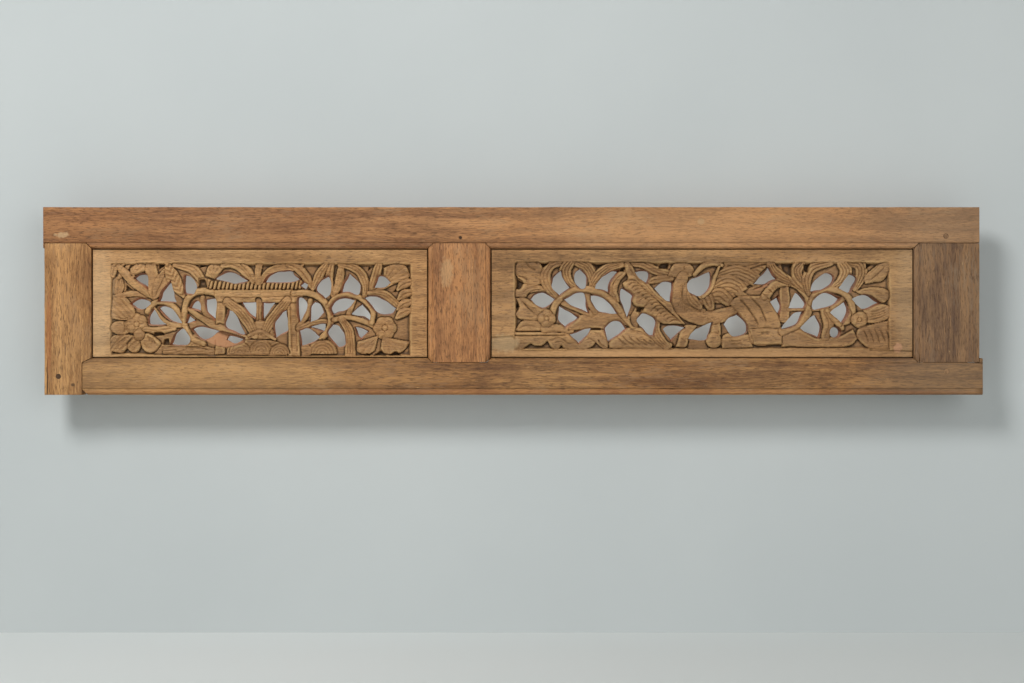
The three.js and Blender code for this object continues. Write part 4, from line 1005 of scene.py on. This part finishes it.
rightBoard = wood(light="ba9060", dark="80603c", shift=5.6, stain=0.4, seed=13, mostFaces=185000, pitch=1.0, gap=2.0, back=8.0,
                  face=20.0, ground=12.5, rimWidth=3.0, rimDrop=2.0, lean=1.6, openWider=0.9, tongueReach=3.0, tongueNear=11.0,
                  tongueThick=6.0, brokenCorner=0.0, marks=[
                      {"at": (230, -201), "size": (330, 6), "colour": "dba871", "soft": 0.6, "strength": 0.4},
                      {"at": (-15, -185), "size": (22, 14), "colour": "d2b88c", "ragged": 1.2, "strength": 0.3},
                      {"at": (628, -120), "size": (16, 90), "colour": "a58c6c", "soft": 0.6, "strength": 0.3},
                      {"at": (615, -192), "size": (6, 7), "colour": "d29a78", "ragged": 1.6, "strength": 0.4}],
                  # lighter, oranger wood for the opening walls: partly own colour, partly painted light
                  walls=wood(light="bd8058", dark="75492c", shift=6.4, dry=0.3, dryColour="d29a74"))
rightOpenings = [
    [(63, 94), (70, 102), (80, 105), (88, 104), (103, 94), (90, 82), (80, 81)],
    [(98, 122), (100, 131), (113, 140), (116, 126), (128, 113), (110, 100), (99, 113)],
    [(135, 128), (136, 137), (143, 143), (153, 133), (154, 124), (151, 113), (144, 111), (137, 117)],
    [(168, 112), (172, 122), (190, 138), (206, 140), (192, 121), (190, 105)],
    [(117, 94), (136, 104), (147, 105), (151, 98), (157, 72), (130, 84)],
    [(110, 83), (142, 66), (130, 57), (119, 49), (108, 62)],
    [(161, 100), (168, 101), (178, 97), (190, 88), (203, 71), (175, 74), (162, 89)],
    [(127, 38), (148, 45), (160, 47), (154, 36), (141, 23)],
    [(182, 46), (188, 54), (198, 59), (208, 58), (217, 47), (205, 37), (188, 27)],
    [(208, 109), (213, 111), (227, 102), (226, 92), (219, 65), (208, 91)],
    [(231, 138), (240, 141), (252, 138), (254, 129), (250, 119), (236, 130)],
    [(242, 72), (252, 69), (264, 61), (261, 36), (252, 37), (238, 55), (235, 62)],
    [(262, 112), (272, 120), (280, 122), (292, 122), (289, 90), (282, 92), (272, 101)],
    [(277, 46), (284, 51), (300, 51), (311, 49), (300, 40), (289, 27)],
    [(315, 115), (320, 124), (340, 134), (351, 137), (353, 128), (350, 112), (340, 102), (330, 100), (320, 103)],
    [(317, 30), (322, 39), (332, 47), (355, 57), (348, 38), (342, 29)],
    [(373, 54), (382, 64), (395, 72), (407, 58), (411, 48), (408, 40), (388, 35)],
    [(421, 119), (440, 139), (445, 145), (457, 127), (440, 118)],
    [(448, 90), (461, 101), (464, 80), (461, 68)],
    [(478, 80), (487, 101), (492, 103), (504, 89), (502, 80)],
    [(466, 47), (480, 66), (490, 73), (501, 75), (491, 57), (478, 49)],
    [(512, 106), (516, 119), (525, 129), (537, 136), (546, 134), (550, 128), (544, 116), (520, 106)],
    [(515, 84), (518, 94), (527, 102), (540, 105), (561, 96), (550, 86), (530, 80), (518, 78)],
    [(496, 48), (512, 64), (520, 68), (529, 50), (526, 32), (505, 41)],
    [(544, 73), (563, 88), (568, 90), (573, 72), (563, 56)],
    [(558, 112), (572, 131), (577, 134), (585, 127), (577, 106), (568, 106)],
    [(579, 94), (595, 101), (606, 100), (624, 88), (600, 78), (590, 83)],
]


def carveRightBoard(r):
    # the field inside the margins, then the strip along the foot, which lies a little lower
    field = [(38, 13), (39, 60), (38, 110), (38, 153), (120, 154), (260, 153), (420, 153), (637, 153),
             (639, 100), (637, 60), (638, 14), (560, 14), (420, 13), (300, 13), (200, 13), (100, 13)]
    strip = [(1, -2), (1, 34), (37, 36), (44, 13), (565, 16), (588, 30), (606, 14), (640, 13), (674, 12), (674, -2)]
    r.sink(strip, to=17.5, slope=1.5, square=True)
    r.startField(field)

    # foot of the board, left to right
    r.patch([(39, 14), (50, 13), (57, 18), (64, 23), (70, 20), (82, 20), (91, 27), (99, 15), (108, 14), (113, 20),
             (121, 14), (150, 14), (163, 19), (172, 30), (160, 42), (146, 30), (130, 40), (38, 42)], 19, rise=4)
    r.cut([(96, 28), (110, 32), (124, 24)], 2, 1.6)
    r.cut([(100, 24), (112, 26), (120, 20)], 1.6, 1.2)
    r.cut([(118, 24), (140, 24), (160, 32)], 1.8, 1.3)
    r.patch([(150, 46), (160, 47), (184, 44), (189, 32), (188, 16), (180, 15), (172, 22), (165, 27), (152, 36)],
            18, rise=5)
    r.cut([(172, 30), (176, 22), (184, 17)], 2.2, 2.6)
    r.cut([(165, 42), (176, 36), (186, 28)], 1.8, 1.4)
    r.patch([(190, 15), (190, 26), (206, 38), (218, 48), (240, 48), (262, 34), (292, 22), (292, 14)], 19, rise=6)
    for k in range(7):
        u = 200 + k * 11
        r.cut([(u - 2, 40 - k * 2.3), (u + 8, 28 - k), (u + 20, 20)], 2.0, 1.9)
    r.cut([(222, 44), (244, 40), (262, 28)], 2, 1.8)
    r.band([(266, 62), (263, 46), (268, 32), (282, 18)], (12, 18, 12), 19, grooves=3, groove=1.5)
    r.patch([(296, 18), (312, 17), (318, 30), (322, 40), (331, 52), (312, 53), (303, 40), (300, 28)], 18, rise=4)
    r.cut([(304, 32), (310, 28), (312, 24)], 1.8, 1.4)
    r.patch([(316, 14), (348, 14), (346, 30), (318, 31)], 13.5, rise=2)
    r.band([(358, 60), (361, 45), (357, 30)], (16, 16, 20), 19)
    r.arcs((357, 28), 12.5, 0.5, 20)
    r.patch([(370, 15), (420, 17), (414, 38), (392, 36), (382, 40), (371, 34)], 18, rise=3)
    r.cut([(383, 28), (392, 26.5), (402, 28)], 1.8, 1.8)
    r.cut([(384, 23), (394, 22), (404, 24)], 1.8, 1.8)
    r.cut([(364, 44), (366, 38)], 1.8, 1.5)
    r.cut([(373, 40), (375, 35)], 1.8, 1.5)
    r.patch([(466, 18), (565, 18), (588, 31), (580, 46), (562, 36), (545, 34), (520, 32), (498, 46), (480, 52),
             (466, 48)], 18, rise=4)
    r.cut([(480, 42), (500, 36), (520, 27)], 1.8, 1.2)
    r.cut([(505, 24), (530, 26), (556, 24)], 1.8, 1.1)

    # left edge
    r.patch([(42, 48), (52, 60), (76, 60), (84, 50), (84, 43), (44, 43)], 17.5, rise=4)
    r.cut([(44, 46), (58, 52), (74, 48)], 1.6, 1.3)
    r.band([(86, 46), (106, 48), (128, 44)], (13, 12, 12), 18)
    r.patch([(39, 70), (48, 62), (76, 61), (92, 78), (72, 86), (56, 96), (40, 96), (46, 82)], 18, rise=6)
    for k in range(4):
        r.cut([(48 + 5 * k, 92 - 5 * k), (58 + 5 * k, 84 - 5 * k), (74 + 4 * k, 78 - 5 * k)], 1.9, 1.8)
    r.patch([(40, 97), (56, 97), (62, 104), (80, 106), (92, 106), (80, 116), (62, 120), (52, 118), (40, 108)], 17,
            rise=5)
    r.cut([(58, 100), (66, 107), (82, 109)], 1.8, 1.8)
    r.cut([(50, 104), (62, 112), (76, 113)], 1.6, 1.2)
    r.patch([(40, 135), (50, 124), (56, 119), (78, 117), (88, 130), (86, 142), (76, 154), (58, 158), (42, 157)], 18,
            rise=8)
    r.cut([(44, 132), (54, 128), (60, 124)], 2.4, 2.6)
    r.cut([(56, 156), (62, 146), (74, 140)], 2, 1.8)
    r.cut([(60, 152), (70, 156), (76, 148)], 1.8, 1.4)
    r.cut([(64, 134), (74, 128), (84, 124)], 1.8, 1.2)
    r.cut([(50, 150), (52, 140), (60, 134)], 1.8, 1.2)

    # leaves along the top, at the left
    r.band([(104, 98), (92, 114), (88, 132), (98, 149), (122, 154)], (10, 18, 14, 10), 18, grooves=2, groove=1.4)
    r.band([(164, 112), (163, 130), (154, 146), (138, 154)], (10, 17, 14), 18, grooves=3, groove=1.8)
    r.band([(146, 111), (130, 115), (121, 127), (120, 142), (130, 157)], (8, 18, 20, 14), 20, grooves=3,
           groove=1.8)
    r.band([(161, 112), (170, 128), (188, 144), (212, 150)], (9, 17, 14, 9), 18, grooves=3, groove=1.8)
    r.band([(202, 92), (195, 108), (199, 124), (214, 137)], (9, 17, 16, 8), 18, grooves=1)
    r.cut([(196, 98), (192, 110), (198, 122)], 1.8, 1.4)

    # stems
    r.patch([(124, 44), (128, 56), (142, 68), (176, 74), (206, 72), (230, 62), (236, 50), (216, 52), (200, 60),
             (186, 54), (180, 46), (160, 46)], 17, rise=7)
    r.band([(112, 90), (136, 80), (162, 70)], (9, 10, 10), 17)
    r.band([(155, 104), (156, 90), (168, 74)], (10, 9, 10), 16)
    r.band([(96, 62), (103, 84), (115, 97), (130, 107), (150, 110), (168, 107), (186, 97), (202, 82), (214, 67),
            (228, 52)], (10, 11, 12, 12), 20)
    r.rosette((90, 63), 15, 4, 19, turn=0.1)
    r.patch([(223, 62), (231, 80), (238, 74), (236, 50), (228, 50)], 15, rise=3)

    # the long leaf in the middle
    r.band([(224, 150), (244, 150), (264, 140), (292, 132)], (8, 14, 12), 17, grooves=2, groove=1.5)
    r.band([(254, 122), (268, 126), (290, 128)], (8, 12, 10), 16, grooves=1)
    r.patch([(214, 152), (222, 153), (232, 138), (240, 126), (252, 119), (263, 108), (276, 96), (290, 88),
             (302, 66), (312, 54), (276, 55), (262, 64), (256, 67), (242, 72), (246, 81), (232, 83), (226, 92),
             (228, 100), (215, 111), (211, 120), (220, 127), (216, 138)], 20, rise=6)
    r.cut([(220, 150), (228, 136), (238, 124), (252, 115), (262, 101), (274, 92), (288, 84)], 2.2, 2.0)
    for k in range(15):
        u, v = 219 + k * 5.0, 126 - k * 4.6
        r.cut([(u - 4, v - 6), (u + 3, v - 1), (u + 12, v - 2), (u + 20, v - 8)], 1.6, 1.9)
    r.cut([(232, 128), (246, 114), (262, 98), (280, 80), (300, 62)], 1.6, 1.4)
    for k in range(5):
        r.cut([(228 + 9 * k, 100 - 9 * k), (238 + 8 * k, 104 - 8 * k), (247 + 7 * k, 99 - 8 * k)], 1.8, 1.5)

    # the crested scroll
    r.patch([(284, 132), (290, 146), (298, 152), (318, 151), (326, 140), (320, 130), (300, 128)], 18, rise=6)
    r.cut([(312, 140), (310, 146), (318, 149)], 1.6, 1.5)
    r.band([(308, 130), (301, 112), (301, 92), (308, 78), (324, 68), (344, 64), (366, 67), (396, 76)],
           (18, 24, 24, 20), 18.5)
    r.band([(308, 116), (307, 98), (313, 87), (324, 80), (342, 76)], (5, 8, 5), 18, profile="scoop")
    for k in range(6):
        r.cut([(303 + 2.4 * k, 90 - 2.2 * k), (300 + 3.6 * k, 82 - 2.6 * k)], 1.5, 1.0)
    r.band([(314, 118), (312, 104), (318, 92), (330, 86), (342, 92)], (6, 12, 10), 17)
    r.patch([(352, 104), (360, 112), (370, 132), (372, 150), (400, 152), (444, 150), (438, 142), (430, 134),
             (428, 122), (412, 116), (404, 104), (392, 98), (372, 88), (356, 90)], 17, rise=4)
    r.patch([(372, 149), (404, 141), (430, 148), (446, 152), (436, 155), (372, 155)], 18, rise=4)
    r.cut([(376, 149), (400, 145), (424, 150), (432, 154)], 1.8, 1.8)
    r.cut([(384, 143), (406, 140), (428, 146), (440, 150)], 1.8, 1.6)
    r.cut([(424, 141), (434, 136)], 2, 2)
    r.cut([(428, 146), (440, 141)], 2, 2)
    r.band([(362, 130), (390, 138), (408, 134), (426, 124)], (12, 22, 20), 18.5, grooves=3, groove=1.9)
    r.band([(358, 113), (378, 120), (394, 115), (402, 106)], (12, 26, 22), 19.5, grooves=3, groove=1.9)
    r.band([(350, 98), (366, 102), (380, 92)], (10, 22, 18), 19, grooves=2, groove=1.8)
    r.band([(336, 100), (346, 96), (352, 82)], (10, 20, 14), 19, grooves=2, groove=1.7)
    r.band([(318, 104), (322, 94), (334, 82)], (8, 16, 11), 18.5, grooves=2, groove=1.6)
    r.band([(327, 134), (340, 147), (355, 151), (370, 148)], (7, 9, 6), 20)
    r.band([(366, 146), (359, 128), (352, 110), (341, 98)], (4, 6, 7, 7), 20)

    for k in range(9):
        u = 314 + 9 * k
        v = 66 + 9 * ((k - 4) / 4) ** 2 - 1.5 * k
        r.cut([(u - 4, v + 5), (u, v + 1), (u + 5, v + 4)], 1.5, 1.0)

    # the hanging fold
    r.patch([(382, 86), (392, 97), (416, 101), (436, 104), (448, 94), (455, 80), (462, 64), (465, 48), (465, 22),
             (421, 21), (412, 44), (404, 62), (394, 74)], 19, rise=5)
    r.cut([(398, 95), (410, 82), (420, 68), (430, 50)], 2.2, 2.4)
    r.cut([(415, 98), (430, 82), (438, 66), (442, 54)], 2.2, 2.4)
    r.patch([(414, 46), (440, 48), (466, 46), (466, 22), (421, 21)], 20, rise=2.4)
    r.patch([(432, 42), (446, 42), (445, 37), (433, 37)], 17.5, base=19.5, depth=0.4)
    for k in range(4):
        for m in range(3):
            u, v = 402 + 13 * m + 2.5 * k, 92 - 11 * k + 1.5 * m
            r.cut([(u - 3, v + 1), (u, v - 1.5), (u + 3, v + 1)], 1.4, 0.9)
    r.patch([(404, 106), (428, 118), (440, 108), (450, 96), (436, 100), (416, 100)], 15, rise=3)

    # the loop beside it
    r.band([(470, 64), (471, 88), (470, 113)], (16, 17, 14), 17, profile="scoop")
    r.band([(478, 78), (492, 79), (504, 77)], (8, 7, 8), 16)
    r.band([(438, 98), (446, 108), (458, 118), (476, 122), (494, 114), (507, 98), (510, 82), (504, 66),
            (490, 52), (466, 42)], (13, 14, 12, 12, 14), 20)
    r.patch([(434, 104), (442, 113), (452, 103), (446, 94)], 20, rise=3, square=True)
    for k in range(3):
        r.cut([(450 + 4 * k, 112 + k), (456 + 4 * k, 106 + k)], 1.6, 1.4)

    # leaves along the top, at the right
    r.band([(447, 152), (456, 136), (474, 125), (496, 116)], (12, 19, 14, 8), 18, grooves=3, groove=1.8)
    r.band([(489, 154), (482, 138), (490, 122), (506, 106)], (11, 17, 16, 8), 19, grooves=2, groove=1.8)
    r.band([(500, 152), (492, 138), (498, 124)], (8, 13, 8), 17, grooves=2)
    r.band([(509, 102), (506, 126), (516, 144), (544, 152)], (9, 16, 15, 10), 18, grooves=2, groove=1.8)
    r.band([(574, 152), (590, 149), (594, 134), (584, 110)], (12, 20, 18, 9), 17, grooves=3, groove=1.9)
    r.band([(560, 154), (569, 138), (562, 122), (548, 112)], (14, 20, 18, 10), 20, grooves=3, groove=1.9)
    r.patch([(600, 118), (612, 121), (628, 124), (638, 140), (640, 156), (624, 152), (608, 140), (598, 128)], 18,
            rise=7)
    r.cut([(606, 124), (620, 134), (632, 148)], 1.8, 1.6)
    r.cut([(604, 132), (614, 142), (622, 150)], 1.6, 1.2)
    r.patch([(584, 106), (600, 112), (622, 113), (636, 108), (638, 96), (628, 88), (618, 94), (606, 101),
             (592, 102)], 17, rise=6)
    r.cut([(594, 107), (612, 108), (630, 100)], 1.8, 1.3)
    r.patch([(596, 76), (606, 80), (622, 86), (638, 84), (639, 66), (622, 56), (603, 56), (600, 68)], 18, rise=6)
    for k in range(4):
        r.cut([(606, 74 - 4.5 * k), (620, 76 - 4 * k), (635, 82 - 4 * k)], 1.8, 1.7)

    # stems and leaves at the right
    r.band([(516, 79), (532, 79), (546, 76)], (8, 9, 7), 17)
    r.band([(544, 76), (554, 86), (566, 96)], (8, 8, 9), 16)
    r.band([(536, 34), (541, 54), (532, 76)], (14, 17, 9), 18, grooves=1)
    r.band([(562, 48), (553, 62), (538, 76)], (9, 15, 7), 19)
    r.band([(512, 88), (520, 102), (535, 109), (556, 108), (570, 99), (578, 86), (578, 68)], (11, 11, 10, 12), 20)
    r.patch([(560, 50), (575, 56), (578, 70), (572, 84), (566, 60)], 17, rise=3)
    r.rosette((590, 61), 14, 3, 20, turn=1.2)
    r.patch([(587, 32), (588, 46), (602, 52), (636, 60), (638, 14), (607, 15)], 18, rise=5)
    for k in range(5):
        r.cut([(596 + 9 * k, 46), (601 + 9 * k, 36), (605 + 9 * k, 24)], 1.9, 1.8)

    for hollow in ([(268, 142), (285, 142), (286, 153), (272, 151)], [(203, 138), (215, 137), (212, 146)],
                   [(170, 140), (181, 150), (163, 151)], [(468, 139), (482, 128), (484, 152), (464, 151)],
                   [(158, 44), (178, 44), (176, 48), (160, 48)], [(40, 78), (46, 80), (44, 86), (40, 88)],
                   [(80, 151), (95, 152), (83, 143)], [(502, 138), (508, 136), (512, 150), (500, 150)],
                   [(600, 141), (612, 150), (600, 152)], [(288, 15), (296, 15), (292, 26)],
                   [(232, 74), (241, 72), (244, 82), (236, 82)], [(40, 110), (48, 110), (54, 120), (42, 128)]):
        r.sink(hollow, to=4.5, slope=3)
    for opening in rightOpenings:
        r.open(opening)
    r.slope([(118, 50), (124, 48), (142, 64), (138, 68)], (128, 52), (126, 60))
    r.slope([(338, 102), (344, 103), (354, 126), (351, 134), (347, 128)], (356, 116), (345, 118))
    r.slope([(420, 110), (426, 108), (446, 116), (443, 120)], (434, 108), (433, 119))
    r.open([(552 + 8.5 * math.cos(k * 0.63), 41.5 + 8.5 * math.sin(k * 0.63)) for k in range(10)])

    # the open joint near the foot, where the board was mended
    r.cut([(-4, 36.5), (20, 37), (60, 35.5), (96, 36), (132, 37)], 1.6, 3.0)


rightCarving = startBoard("right_carved_panel", rightBoard)
carveRightBoard(rightCarving)
addBoard("right_carved_panel", rightCarving, rightBoard)
print("right board carved")
